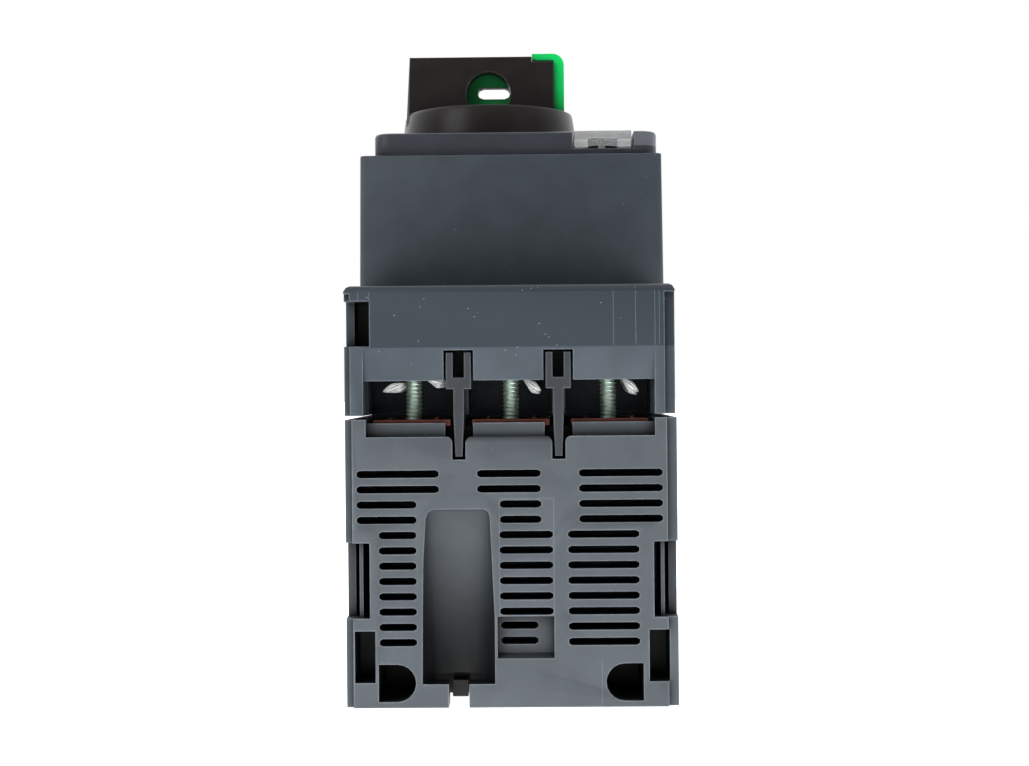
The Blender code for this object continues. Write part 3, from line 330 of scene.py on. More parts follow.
def moulding(name, shade, roughness, grain=5200.0, depth=0.00001, specks=0.35, edge_highlight=0.4,
             speck_size=0.055, painted_shade=0.7, reach=0.006, mottle=0.2, zone=None,
             shade_group=POCKET_SHADE, pale_bands=None, channel=None):
    """Moulded plastic: grained skin, slow mottling, dust, a painted highlight along corners
    and painted shade in hollows.

    zone is (height, reach, shade): above that height, and further than that reach from the
    middle towards either end, in metres, the skin has the second shade.
    pale_bands is a group of mould lines and painted light bands, and channel is a group whose
    mask gets painted shade too.
    """
    made = bpy.data.materials.new(name)
    made.use_nodes = True
    tree = made.node_tree
    shader = tree.nodes["Principled BSDF"]
    shader.inputs["Specular IOR Level"].default_value = 0.22
    link = tree.links.new
    skin = node(tree, "ShaderNodeGroup", (-1100, 0), node_tree=GRAIN)
    skin.inputs["Grain per metre"].default_value = grain
    dust = node(tree, "ShaderNodeGroup", (-1100, -250), node_tree=DUST)
    dust.inputs["Amount"].default_value = specks
    dust.inputs["Speck size"].default_value = speck_size
    # Painted highlight along the rounded corners.
    edge_light = node(tree, "ShaderNodeGroup", (-1100, -500), node_tree=EDGE_HIGHLIGHT)
    edge_light.inputs["Amount"].default_value = edge_highlight
    # Painted shade: the skin is darkened where its surroundings hide it from light.
    shade_mask = node(tree, "ShaderNodeGroup", (-1100, -750), node_tree=shade_group)
    shade_mask.inputs["Amount"].default_value = painted_shade
    shade_mask.inputs["Reach"].default_value = reach
    tone = node(tree, "ShaderNodeMix", (-800, 0), data_type="RGBA")
    tone.inputs["A"].default_value = (*[c * (1.0 - mottle) for c in shade], 1.0)
    tone.inputs["B"].default_value = (*[c * (1.0 + mottle) for c in shade], 1.0)
    link(skin.outputs["Mottle"], tone.inputs["Factor"])
    base = tone.outputs["Result"]
    if zone:
        height, reach_out, other = zone
        where = node(tree, "ShaderNodeTexCoord", (-1300, 300))
        split = node(tree, "ShaderNodeSeparateXYZ", (-1150, 300))
        above = node(tree, "ShaderNodeMath", (-1000, 300), operation="GREATER_THAN")
        above.inputs[1].default_value = height
        side = node(tree, "ShaderNodeMath", (-1000, 450), operation="ABSOLUTE")
        outer = node(tree, "ShaderNodeMath", (-850, 450), operation="GREATER_THAN")
        outer.inputs[1].default_value = reach_out
        both = node(tree, "ShaderNodeMath", (-700, 300), operation="MULTIPLY")
        zoned = node(tree, "ShaderNodeMix", (-550, 150), data_type="RGBA")
        zoned.inputs["B"].default_value = (*other, 1.0)
        link(where.outputs["Object"], split.inputs["Vector"])
        link(split.outputs["Z"], above.inputs[0])
        link(split.outputs["Y"], side.inputs[0])
        link(side.outputs["Value"], outer.inputs[0])
        link(above.outputs["Value"], both.inputs[0])
        link(outer.outputs["Value"], both.inputs[1])
        link(both.outputs["Value"], zoned.inputs["Factor"])
        link(base, zoned.inputs["A"])
        base = zoned.outputs["Result"]
    # The pale colour carries the painted corner highlight, the mould lines and the plate's
    # painted light band.
    pale = node(tree, "ShaderNodeMix", (-500, 0), data_type="RGBA")
    pale.inputs["B"].default_value = (*[min(1.0, c * 2.2 + 0.05) for c in shade], 1.0)
    dusty = node(tree, "ShaderNodeMix", (-350, 0), data_type="RGBA")
    dusty.inputs["B"].default_value = (0.38, 0.40, 0.41, 1.0)
    # The near-black colour that the painted shade darkens the skin towards.
    dark = node(tree, "ShaderNodeMix", (-200, 0), data_type="RGBA")
    dark.inputs["B"].default_value = (*[c * 0.08 for c in shade], 1.0)
    gloss = node(tree, "ShaderNodeMapRange", (-400, -300))
    gloss.inputs["To Min"].default_value = roughness - 0.06
    gloss.inputs["To Max"].default_value = roughness + 0.06
    bump = node(tree, "ShaderNodeBump", (-200, -500))
    bump.inputs["Strength"].default_value = 0.6
    bump.inputs["Distance"].default_value = depth
    link(base, pale.inputs["A"])
    lightened = edge_light.outputs["Mask"]
    if pale_bands:
        lines = node(tree, "ShaderNodeGroup", (-1100, -1000), node_tree=pale_bands)
        either = node(tree, "ShaderNodeMath", (-800, -500), operation="MAXIMUM")
        link(lightened, either.inputs[0])
        link(lines.outputs["Mask"], either.inputs[1])
        lightened = either.outputs["Value"]
    link(lightened, pale.inputs["Factor"])
    shade_amount = shade_mask.outputs["Mask"]
    if channel:
        deep = node(tree, "ShaderNodeGroup", (-1100, -1200), node_tree=channel)
        either = node(tree, "ShaderNodeMath", (-800, -750), operation="MAXIMUM")
        link(shade_amount, either.inputs[0])
        link(deep.outputs["Mask"], either.inputs[1])
        shade_amount = either.outputs["Value"]
    link(pale.outputs["Result"], dusty.inputs["A"])
    link(dust.outputs["Mask"], dusty.inputs["Factor"])
    link(dusty.outputs["Result"], dark.inputs["A"])
    link(shade_amount, dark.inputs["Factor"])
    link(dark.outputs["Result"], shader.inputs["Base Color"])
    link(skin.outputs["Mottle"], gloss.inputs["Value"])
    link(gloss.outputs["Result"], shader.inputs["Roughness"])
    link(skin.outputs["Height"], bump.inputs["Height"])
    link(bump.outputs["Normal"], shader.inputs["Normal"])
    return made


def finished(name, mesh, material, body, stands_for=(), edge=0.0, segments=2):
    """Turn a bmesh into a piece that rides on a body, with its corners rounded.

    A face is shaded smooth where it is one of the strips of a curved surface.
    """
    for face in mesh.faces:
        curved = sum(edge.calc_length() for edge in face.edges
                     if edge.calc_face_angle(3.0) < math.radians(35.0))
        around = sum(edge.calc_length() for edge in face.edges)
        face.smooth = curved > 0.3 * around
    data = bpy.data.meshes.new(name)
    mesh.to_mesh(data)
    mesh.free()
    data.materials.append(material)
    made = bpy.data.objects.new(name, data)
    scene.collection.objects.link(made)
    if edge:
        rounding = made.modifiers.new("corner_radius", "BEVEL")
        rounding.width = edge
        rounding.segments = segments
        rounding.limit_method = "ANGLE"
        rounding.angle_limit = math.radians(35.0)
        rounding.harden_normals = True
    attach(made, body)
    if stands_for:
        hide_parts(*stands_for)
    return made


def merged(name):
    """The shape of a CAD node as one welded mesh with its flat faces joined."""
    mesh = bmesh.new()
    mesh.from_mesh(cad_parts[name].data)
    bmesh.ops.remove_doubles(mesh, verts=mesh.verts, dist=0.001 * MM)
    bmesh.ops.dissolve_limit(mesh, angle_limit=math.radians(1.0), verts=mesh.verts[:],
                             edges=mesh.edges[:])
    return mesh


def softened(name, material, body, edge=0.12 * MM, segments=2):
    """A CAD node's own shape, with joined faces and rounded corners."""
    return finished(f"{name}_moulding", merged(name), material, body, [name], edge,
                    segments)


# The driver channel's middle and half size along each axis, in millimetres.
CHANNEL_BOX = {"X": (-7.25, 4.98), "Y": (-41.4, 3.02), "Z": (15.1, 12.2)}
CHANNEL_HALF_WIDTH = 4.9 * MM


def channel_shade_group():
    """Mask of painted shade in the driver channel: more towards its foot and its two sides."""
    group = bpy.data.node_groups.new("painted_channel_shade", "ShaderNodeTree")
    sockets(group, "INPUT", "NodeSocketFloat", [("Foot", 0.008), ("Unshaded above", 0.025),
                                                ("Foot shade", 1.0), ("Side shade", 0.8)])
    sockets(group, "OUTPUT", "NodeSocketFloat", [("Mask", None)])
    into = node(group, "NodeGroupInput", (-900, 0))
    out = node(group, "NodeGroupOutput", (900, 0))
    where = node(group, "ShaderNodeTexCoord", (-900, 300))
    split = node(group, "ShaderNodeSeparateXYZ", (-700, 300))
    link = group.links.new
    link(where.outputs["Object"], split.inputs["Vector"])
    inside = None
    for axis, (middle, half) in CHANNEL_BOX.items():
        within = node(group, "ShaderNodeMath", (-450, 300), operation="COMPARE")
        within.inputs[1].default_value = middle * MM
        within.inputs[2].default_value = half * MM
        link(split.outputs[axis], within.inputs[0])
        if inside:
            both = node(group, "ShaderNodeMath", (-250, 300), operation="MULTIPLY")
            link(inside, both.inputs[0])
            link(within.outputs["Value"], both.inputs[1])
            inside = both.outputs["Value"]
        else:
            inside = within.outputs["Value"]
    low = node(group, "ShaderNodeMapRange", (-450, 0), interpolation_type="SMOOTHSTEP")
    low.inputs["To Min"].default_value = 1.0
    low.inputs["To Max"].default_value = 0.0
    foot = node(group, "ShaderNodeMath", (-200, 0), operation="MULTIPLY")
    off = node(group, "ShaderNodeMath", (-450, -300), operation="SUBTRACT")
    off.inputs[1].default_value = CHANNEL_BOX["X"][0] * MM
    share = node(group, "ShaderNodeMath", (-300, -300), operation="DIVIDE")
    share.inputs[1].default_value = CHANNEL_HALF_WIDTH
    square = node(group, "ShaderNodeMath", (-150, -300), operation="MULTIPLY")
    sides = node(group, "ShaderNodeMath", (0, -300), operation="MULTIPLY")
    open_foot = node(group, "ShaderNodeMath", (0, 0), operation="SUBTRACT")
    open_foot.inputs[0].default_value = 1.0
    open_side = node(group, "ShaderNodeMath", (150, -300), operation="SUBTRACT")
    open_side.inputs[0].default_value = 1.0
    unshaded_share = node(group, "ShaderNodeMath", (300, 0), operation="MULTIPLY")
    channel_shaded = node(group, "ShaderNodeMath", (450, 0), operation="SUBTRACT")
    channel_shaded.inputs[0].default_value = 1.0
    masked = node(group, "ShaderNodeMath", (650, 0), operation="MULTIPLY")
    link(split.outputs["Z"], low.inputs["Value"])
    link(into.outputs["Foot"], low.inputs["From Min"])
    link(into.outputs["Unshaded above"], low.inputs["From Max"])
    link(low.outputs["Result"], foot.inputs[0])
    link(into.outputs["Foot shade"], foot.inputs[1])
    link(split.outputs["X"], off.inputs[0])
    link(off.outputs["Value"], share.inputs[0])
    link(share.outputs["Value"], square.inputs[0])
    link(share.outputs["Value"], square.inputs[1])
    link(square.outputs["Value"], sides.inputs[0])
    link(into.outputs["Side shade"], sides.inputs[1])
    link(foot.outputs["Value"], open_foot.inputs[1])
    link(sides.outputs["Value"], open_side.inputs[1])
    link(open_foot.outputs["Value"], unshaded_share.inputs[0])
    link(open_side.outputs["Value"], unshaded_share.inputs[1])
    link(unshaded_share.outputs["Value"], channel_shaded.inputs[1])
    link(channel_shaded.outputs["Value"], masked.inputs[0])
    link(inside, masked.inputs[1])
    link(masked.outputs["Value"], out.inputs["Mask"])
    return group


REAR_LINES = pale_band_group("rear_insert_lines", [
    ("X", -1.62, 7.0, 28.2), ("X", 5.72, 12.4, 28.2), ("Z", 28.2, -1.6, 5.7),
    ("X", 12.1, 0.0, 6.1)])
# The driver channel is painted with shade, deepest at its foot and along its sides.
REAR_GREY = moulding("rear_case_grey", (0.082, 0.095, 0.108), 0.50, painted_shade=1.0, reach=0.008,
                     edge_highlight=0.7, pale_bands=REAR_LINES, channel=channel_shade_group())

# The top rim of each end plate is rounded where the phase barriers drop past it.
NOTCH_SIDES = [x * MM + side * 0.9 * MM for x in (-7.0, 6.5) for side in (-1.0, 1.0)]
NOTCH_TOP = 36.6 * MM
NOTCH_RADIUS = 0.8 * MM
END_PLATE_FROM = 42.5 * MM
rear_shape = merged("rear_housing")
notch_corners = [
    edge for edge in rear_shape.edges
    if all(abs(vert.co.z - NOTCH_TOP) < 0.05 * MM and abs(vert.co.y) > END_PLATE_FROM
           and min(abs(vert.co.x - x) for x in NOTCH_SIDES) < 0.05 * MM
           for vert in edge.verts)]
bmesh.ops.bevel(rear_shape, geom=notch_corners, offset=NOTCH_RADIUS, segments=4, profile=0.5,
                affect="EDGES")
finished("rear_housing_moulding", rear_shape, REAR_GREY, "root",
         ["rear_housing"], 0.14 * MM)


# ------------------------------------------------------------ front housing
# The front housing is the same polyamide in a darker blue grey. Above the terminal mouths,
# near either end, its skin is coloured darker still, and it clips to the rear housing along
# one seam.
FRONT_LINES = pale_band_group("front_insert_lines", [
    ("X", place, 48.8, 56.2) for place in (-20.5, -19.0, 14.0, 17.0, 19.6, 20.2, 20.9)])
FRONT_GREY = moulding("front_case_grey", (0.064, 0.080, 0.096), 0.48, depth=0.00002,
                      specks=0.6, speck_size=0.07, edge_highlight=0.8, painted_shade=1.0, reach=0.007,
                      pale_bands=FRONT_LINES, zone=(48.7 * MM, 43.6 * MM, (0.034, 0.045, 0.057)))
front_shape = merged("front_housing")

# A low tongue inside the seam, near each end, keeps light and dust out.
SEAM_TONGUE = (40.2 * MM, 0.7 * MM, 0.7 * MM)
SEAM_TONGUE_Y = 29.7 * MM
SEAM_TONGUE_Z = 39.3 * MM
for side in (-1.0, 1.0):
    tongue = bmesh.ops.create_cube(front_shape, size=1.0)["verts"]
    for vert in tongue:
        vert.co = Vector((vert.co.x * SEAM_TONGUE[0],
                          side * SEAM_TONGUE_Y + vert.co.y * SEAM_TONGUE[1],
                          SEAM_TONGUE_Z + vert.co.z * SEAM_TONGUE[2]))
finished("front_housing_moulding", front_shape, FRONT_GREY, "root",
         ["front_housing"], 0.16 * MM)


# ------------------------------------------------------------ nose cover and front plate
# The nose is a deep box of smooth dark polyamide that covers the switching mechanism, and
# the front plate snaps on top of it round the handle, the dial and the test button.
NOSE = moulding("nose_blue_grey", (0.049, 0.060, 0.073), 0.42, grain=7000.0,
                depth=0.000004, specks=0.6, edge_highlight=0.9, painted_shade=0.6, reach=0.02)
softened("nose_cover", NOSE, "root", 0.35 * MM, 3)

# The plate's right end is painted paler, as painted light on the rounding that faces the
# light.
PLATE_END_LIGHT = pale_band_group("painted_plate_end_light", [("X", 20.2, 79.0, 84.0)])
PLATE_END_LIGHT.interface.items_tree["Line width"].default_value = 5.0 * MM
PLATE_END_LIGHT.interface.items_tree["Amount"].default_value = 0.9
PLATE = moulding("front_plate_blue_grey", (0.039, 0.044, 0.054), 0.38, grain=7000.0,
                 depth=0.000004, specks=0.2, edge_highlight=0.9, pale_bands=PLATE_END_LIGHT)
softened("front_plate", PLATE, "root", 0.12 * MM)


# ------------------------------------------------------------ rotary handle
# The knob is moulded black with an upright grip. A green slide in the grip pulls out to
# the side, so that its hole meets the grip's hole and a padlock can lock the handle off.
BLACK = moulding("black_moulding", (0.0175, 0.0145, 0.0140), 0.34, grain=7000.0,
                 depth=0.000005, specks=0.08, edge_highlight=0.9, painted_shade=0.3, mottle=0.35)
# The slide is painted with shade where the grip and the knob hide it from light.
GREEN = moulding("green_moulding", (0.0, 0.80, 0.16), 0.5, grain=7000.0,
                 depth=0.000003, specks=0.05, edge_highlight=0.1, painted_shade=0.92, reach=0.007,
                 shade_group=SHELTERED_SHADE)
KNOB_X = -3.67 * MM

# The disc stands nearly upright to a crisp rim. Each row is a height and the radius there
# before and after, in millimetres.
RIM_ROWS = ((84.5, 13.35, 13.60), (86.0, 12.65, 13.38), (86.5, 12.15, 13.22))
knob_shape = merged("knob")
for vert in knob_shape.verts:
    reach = math.hypot(vert.co.x - KNOB_X, vert.co.y)
    for height, before, after in RIM_ROWS:
        if abs(vert.co.z - height * MM) < 0.02 * MM and abs(reach - before * MM) < 0.06 * MM:
            vert.co.x = KNOB_X + (vert.co.x - KNOB_X) * after / before
            vert.co.y *= after / before
finished("knob_moulding", knob_shape, BLACK, "handle", ["knob"],
         0.12 * MM)

# The slide's head closes up to the grip with a hair gap, and its slot sits high. Each seat
# of the head is given as its offset from the knob's axis, before and after, in millimetres.
SLOT_FROM = (-2.9 * MM, 88.3 * MM)
SLOT_TO = (4.6 * MM, 90.5 * MM)
SLOT_LIFT = 0.75 * MM
HEAD_SEATS = ((7.3, 6.93), (10.6, 10.34))
slide_shape = merged("padlock_slide")
for vert in slide_shape.verts:
    across = vert.co.x - KNOB_X
    if SLOT_FROM[1] < vert.co.z < SLOT_TO[1] and SLOT_FROM[0] < across < SLOT_TO[0]:
        vert.co.z += SLOT_LIFT
    for seat, closed in HEAD_SEATS:
        if abs(vert.co.x - KNOB_X - seat * MM) < 0.02 * MM:
            vert.co.x = KNOB_X + closed * MM
finished("padlock_slide_moulding", slide_shape, GREEN, "padlock_tongue",
         ["padlock_slide"], 0.14 * MM)


# ------------------------------------------------------------ cover, dial and button
# A clear polycarbonate flap, injection moulded with two end feet, covers the dial that
# sets the trip current. The dial and the test button drop through the front plate.
def clear_plastic():
    """Clear plastic with a light haze and uneven polish."""
    made = bpy.data.materials.new("clear_polycarbonate")
    made.use_nodes = True
    tree = made.node_tree
    shader = tree.nodes["Principled BSDF"]
    shader.inputs["Transmission Weight"].default_value = 0.72
    shader.inputs["IOR"].default_value = 1.58
    where = node(tree, "ShaderNodeTexCoord", (-900, 0))
    frost = node(tree, "ShaderNodeTexNoise", (-700, 0))
    frost.inputs["Scale"].default_value = 900.0
    tint = node(tree, "ShaderNodeMix", (-400, 150), data_type="RGBA")
    tint.inputs["A"].default_value = (0.80, 0.83, 0.84, 1.0)
    tint.inputs["B"].default_value = (0.98, 0.99, 0.99, 1.0)
    haze = node(tree, "ShaderNodeMapRange", (-400, -100))
    haze.inputs["To Min"].default_value = 0.08
    haze.inputs["To Max"].default_value = 0.32
    bump = node(tree, "ShaderNodeBump", (-200, -300))
    bump.inputs["Strength"].default_value = 0.5
    bump.inputs["Distance"].default_value = 0.00004
    link = tree.links.new
    link(where.outputs["Object"], frost.inputs["Vector"])
    link(frost.outputs["Fac"], tint.inputs["Factor"])
    link(tint.outputs["Result"], shader.inputs["Base Color"])
    link(frost.outputs["Fac"], haze.inputs["Value"])
    link(haze.outputs["Result"], shader.inputs["Roughness"])
    link(frost.outputs["Fac"], bump.inputs["Height"])
    link(bump.outputs["Normal"], shader.inputs["Normal"])
    return made


CLEAR = clear_plastic()
WHITE = moulding("white_moulding", (0.62, 0.61, 0.57), 0.4, grain=7000.0, depth=0.000003,
                 specks=0.0, edge_highlight=0.1, painted_shade=0.6)
DIAL_GREY = moulding("dial_grey", (0.011, 0.012, 0.014), 0.4, grain=7000.0, depth=0.000003,
                     specks=0.1)

# The lid hangs lower between its feet.
LID_UNDERSIDE = 80.5 * MM
LID_LOWERED = 80.12 * MM
cover_shape = merged("setting_cover")
for vert in cover_shape.verts:
    if abs(vert.co.z - LID_UNDERSIDE) < 0.02 * MM:
        vert.co.z = LID_LOWERED
finished("setting_cover_moulding", cover_shape, CLEAR, "cover",
         ["setting_cover"], 0.18 * MM)
softened("setting_dial", DIAL_GREY, "dial", 0.12 * MM)
softened("test_button", WHITE, "test", 0.15 * MM)


# ------------------------------------------------------------ terminal screws and washers
# Each terminal has a zinc-plated screw with a pan head and a rolled thread. Under the head
# lies a square pressed washer, and the claws at its two ends grip the wire.
POLES = (-13.5 * MM, 0.0, 13.5 * MM)
TERMINAL_Y = 37.0 * MM
THREAD_CORE = 0.86 * MM
THREAD_CREST = 1.22 * MM
THREAD_PITCH = 0.55 * MM
THREAD_FROM = 34.9 * MM
HEAD_FROM = 46.0 * MM


def plated(name, shade, tarnish, roughness, patch=420.0, scratch=0.00002, metal=1.0):
    """Plated or bare metal with a broken tarnish and fine drawn lines."""
    made = bpy.data.materials.new(name)
    made.use_nodes = True
    tree = made.node_tree
    shader = tree.nodes["Principled BSDF"]
    shader.inputs["Metallic"].default_value = metal
    where = node(tree, "ShaderNodeTexCoord", (-1100, 0))
    stretch = node(tree, "ShaderNodeMapping", (-900, -250))
    stretch.inputs["Scale"].default_value = (9000.0, 500.0, 9000.0)
    patches = node(tree, "ShaderNodeTexNoise", (-700, 100))
    patches.inputs["Scale"].default_value = patch
    lines = node(tree, "ShaderNodeTexNoise", (-700, -250))
    lines.inputs["Scale"].default_value = 1.0
    tint = node(tree, "ShaderNodeMix", (-400, 100), data_type="RGBA")
    tint.inputs["A"].default_value = (*shade, 1.0)
    tint.inputs["B"].default_value = (*tarnish, 1.0)
    gloss = node(tree, "ShaderNodeMapRange", (-400, -100))
    gloss.inputs["To Min"].default_value = roughness - 0.08
    gloss.inputs["To Max"].default_value = roughness + 0.12
    bump = node(tree, "ShaderNodeBump", (-300, -350))
    bump.inputs["Strength"].default_value = 0.5
    bump.inputs["Distance"].default_value = scratch
    link = tree.links.new
    link(where.outputs["Object"], patches.inputs["Vector"])
    link(where.outputs["Object"], stretch.inputs["Vector"])
    link(stretch.outputs["Vector"], lines.inputs["Vector"])
    link(patches.outputs["Fac"], tint.inputs["Factor"])
    link(tint.outputs["Result"], shader.inputs["Base Color"])
    link(patches.outputs["Fac"], gloss.inputs["Value"])
    link(gloss.outputs["Result"], shader.inputs["Roughness"])
    link(lines.outputs["Fac"], bump.inputs["Height"])
    link(bump.outputs["Normal"], shader.inputs["Normal"])
    return made


ZINC = plated("zinc_plating", (0.66, 0.88, 0.80), (0.80, 0.86, 0.74), 0.34, metal=0.85)
BRIGHT = plated("bright_spring_leaf", (0.95, 0.95, 0.94), (0.40, 0.42, 0.43), 0.30,
                patch=1800.0, metal=0.9)


def thread_tree():
    """A rolled thread: a diamond ridge wound round a core."""
    tree = bpy.data.node_groups.new("rolled_thread", "GeometryNodeTree")
    sockets(tree, "INPUT", "NodeSocketFloat", [("Core radius", THREAD_CORE),
                                               ("Crest radius", THREAD_CREST),
                                               ("Pitch", THREAD_PITCH), ("Turns", 15.0)])
    sockets(tree, "INPUT", "NodeSocketVector", [("Foot", None)])
    sockets(tree, "INPUT", "NodeSocketMaterial", [("Finish", None)])
    sockets(tree, "OUTPUT", "NodeSocketGeometry", [("Geometry", None)])
    into = node(tree, "NodeGroupInput", (-1000, 0))
    out = node(tree, "NodeGroupOutput", (900, 0))
    height = node(tree, "ShaderNodeMath", (-750, -200), operation="MULTIPLY")
    spiral = node(tree, "GeometryNodeCurveSpiral", (-500, 0))
    spiral.inputs["Resolution"].default_value = 28
    upright = node(tree, "GeometryNodeSetCurveNormal", (-300, 0), mode="Z_UP")
    ridge = node(tree, "GeometryNodeCurvePrimitiveCircle", (-500, -300))
    ridge.inputs["Resolution"].default_value = 4
    depth = node(tree, "ShaderNodeMath", (-750, -400), operation="SUBTRACT")
    wound = node(tree, "GeometryNodeCurveToMesh", (-100, 0))
    wound.inputs["Fill Caps"].default_value = True
    core = node(tree, "GeometryNodeMeshCylinder", (-300, -450))
    core.inputs["Vertices"].default_value = 28
    half = node(tree, "ShaderNodeMath", (-500, -550), operation="MULTIPLY")
    half.inputs[1].default_value = 0.5
    lift = node(tree, "ShaderNodeCombineXYZ", (-300, -700))
    raised = node(tree, "GeometryNodeTransform", (-100, -450))
    both = node(tree, "GeometryNodeJoinGeometry", (150, 0))
    placed = node(tree, "GeometryNodeTransform", (350, 0))
    real = node(tree, "GeometryNodeRealizeInstances", (550, 0))
    coated = node(tree, "GeometryNodeSetMaterial", (720, 0))
    link = tree.links.new
    link(into.outputs["Pitch"], height.inputs[0])
    link(into.outputs["Turns"], height.inputs[1])
    link(into.outputs["Turns"], spiral.inputs["Rotations"])
    link(into.outputs["Core radius"], spiral.inputs["Start Radius"])
    link(into.outputs["Core radius"], spiral.inputs["End Radius"])
    link(height.outputs["Value"], spiral.inputs["Height"])
    link(spiral.outputs["Curve"], upright.inputs["Curve"])
    link(upright.outputs["Curve"], wound.inputs["Curve"])
    link(into.outputs["Crest radius"], depth.inputs[0])
    link(into.outputs["Core radius"], depth.inputs[1])
    link(depth.outputs["Value"], ridge.inputs["Radius"])
    link(ridge.outputs["Curve"], wound.inputs["Profile Curve"])
    link(into.outputs["Core radius"], core.inputs["Radius"])
    link(height.outputs["Value"], core.inputs["Depth"])
    link(height.outputs["Value"], half.inputs[0])
    link(half.outputs["Value"], lift.inputs["Z"])
    link(lift.outputs["Vector"], raised.inputs["Translation"])
    link(core.outputs["Mesh"], raised.inputs["Geometry"])
    link(wound.outputs["Mesh"], both.inputs["Geometry"])
    link(raised.outputs["Geometry"], both.inputs["Geometry"])
    link(both.outputs["Geometry"], placed.inputs["Geometry"])
    link(into.outputs["Foot"], placed.inputs["Translation"])
    link(placed.outputs["Geometry"], real.inputs["Geometry"])
    link(real.outputs["Geometry"], coated.inputs["Geometry"])
    link(into.outputs["Finish"], coated.inputs["Material"])
    link(coated.outputs["Geometry"], out.inputs["Geometry"])
    return tree


def grown(name, tree, values):
    """Evaluate a node tree with the given inputs and return its mesh."""
    holder = bpy.data.objects.new(name, bpy.data.meshes.new(name))
    scene.collection.objects.link(holder)
    maker = holder.modifiers.new(name, "NODES")
    maker.node_group = tree
    for item in tree.interface.items_tree:
        if item.in_out == "INPUT" and item.name in values:
            maker[item.identifier] = values[item.name]
    view = bpy.context.evaluated_depsgraph_get()
    made = bpy.data.meshes.new_from_object(holder.evaluated_get(view), depsgraph=view)
    bpy.data.objects.remove(holder, do_unlink=True)
    return made


THREAD = thread_tree()
for end, side in (("load", -1.0), ("line", 1.0)):
    for number, x in enumerate(POLES, 1):
        y = side * TERMINAL_Y
        turns = (HEAD_FROM - THREAD_FROM - 0.2 * MM) / THREAD_PITCH
        rolled = grown("rolled_thread", THREAD, {"Turns": turns, "Finish": ZINC,
                                                 "Foot": (x, y, THREAD_FROM)})
        screw = merged(f"{end}_terminal_screw_{number}")
        cut = bmesh.ops.bisect_plane(screw, geom=screw.verts[:] + screw.edges[:]
                                     + screw.faces[:], clear_inner=True,
                                     plane_co=(0.0, 0.0, HEAD_FROM - 0.1 * MM),
                                     plane_no=(0.0, 0.0, 1.0))
        rim = [part for part in cut["geom_cut"] if isinstance(part, bmesh.types.BMEdge)]
        bmesh.ops.holes_fill(screw, edges=rim)
        screw.from_mesh(rolled)
        finished(f"{end}_clamp_screw_{number}", screw, ZINC, f"{end}_screw_{number}",
                 [f"{end}_terminal_screw_{number}"], 0.06 * MM, 1)

# The washer carries two bowed claws at either end, pressed down out of the plate. It lies
# askew, so one claw hangs lower than the other. Each claw is its offset from the screw, its
# height, its tilt in degrees and its half length, in millimetres.
CLAWS = {("load", 1): ((-2.55, 43.3, 20.0, 1.62), (3.2, 44.15, -15.0, 1.35)),
         ("load", 2): ((-3.0, 45.0, 30.0, 1.3), (3.0, 43.45, -33.0, 1.45)),
         ("load", 3): ((-3.0, 45.0, 30.0, 1.3), (2.9, 43.35, -40.0, 1.45)),
         ("line", 1): ((-3.0, 43.6, 28.0, 1.5), (3.0, 43.6, -28.0, 1.5)),
         ("line", 2): ((-3.0, 43.9, 28.0, 1.5), (3.0, 43.4, -28.0, 1.5)),
         ("line", 3): ((-3.0, 43.4, 28.0, 1.5), (3.0, 43.9, -28.0, 1.5))}
CLAW_HALF_HEIGHT = 0.56
CLAW_BOW = 0.35
CLAW_THICKNESS = 0.35
CLAW_RIB = 0.10
CLAW_ROW = 3.5 * MM
WASHER_FROM = 45.1 * MM
WASHER_TO = 45.8 * MM
WASHER_HALF = 4.1 * MM
WASHER_HOLE = 2.3 * MM


def claw(mesh, x0, y0, outward, offset, height, angle, half_length):
    """A lens-shaped claw with pressed ribs along it, standing on edge."""
    turn = math.radians(angle)
    for rank, (drop, share) in enumerate(((0.0, 1.0), (0.42, 0.72))):
        sheets = []
        for skin in (1.0, 0.0):
            rows = []
            for i in range(15):
                u = i / 7.0 - 1.0
                row = []
                for j in range(19):
                    v = j / 9.0 - 1.0
                    reach = (1.0 - abs(u) ** 1.6) ** 0.9 + 0.03
                    rib = CLAW_RIB * math.cos(3.5 * math.pi * v) * (1.0 - u * u)
                    bow = CLAW_BOW * (1.0 - u * u) * (1.0 - 0.6 * v * v)
                    along = u * half_length * share + rank * 0.45
                    across = v * CLAW_HALF_HEIGHT * reach * share - drop
                    out = skin * (CLAW_THICKNESS + rib) + bow - rank * 0.3
                    x = offset + along * math.cos(turn) - across * math.sin(turn)
                    z = height + along * math.sin(turn) + across * math.cos(turn)
                    row.append(mesh.verts.new((x0 + x * MM, y0 + outward * out * MM,
                                               z * MM)))
                rows.append(row)
            sheets.append(rows)
        faces = []
        for rows in sheets:
            for near, far in zip(rows, rows[1:]):
                for j in range(18):
                    faces.append(mesh.faces.new((near[j], near[j + 1], far[j + 1], far[j])))
        front, back = sheets
        border = [(0, j) for j in range(18)] + [(i, 18) for i in range(14)]
        border += [(14, j) for j in range(18, 0, -1)] + [(i, 0) for i in range(14, 0, -1)]
        for (i, j), (k, n) in zip(border, border[1:] + border[:1]):
            faces.append(mesh.faces.new((front[i][j], front[k][n], back[k][n], back[i][j])))
        bmesh.ops.recalc_face_normals(mesh, faces=faces)


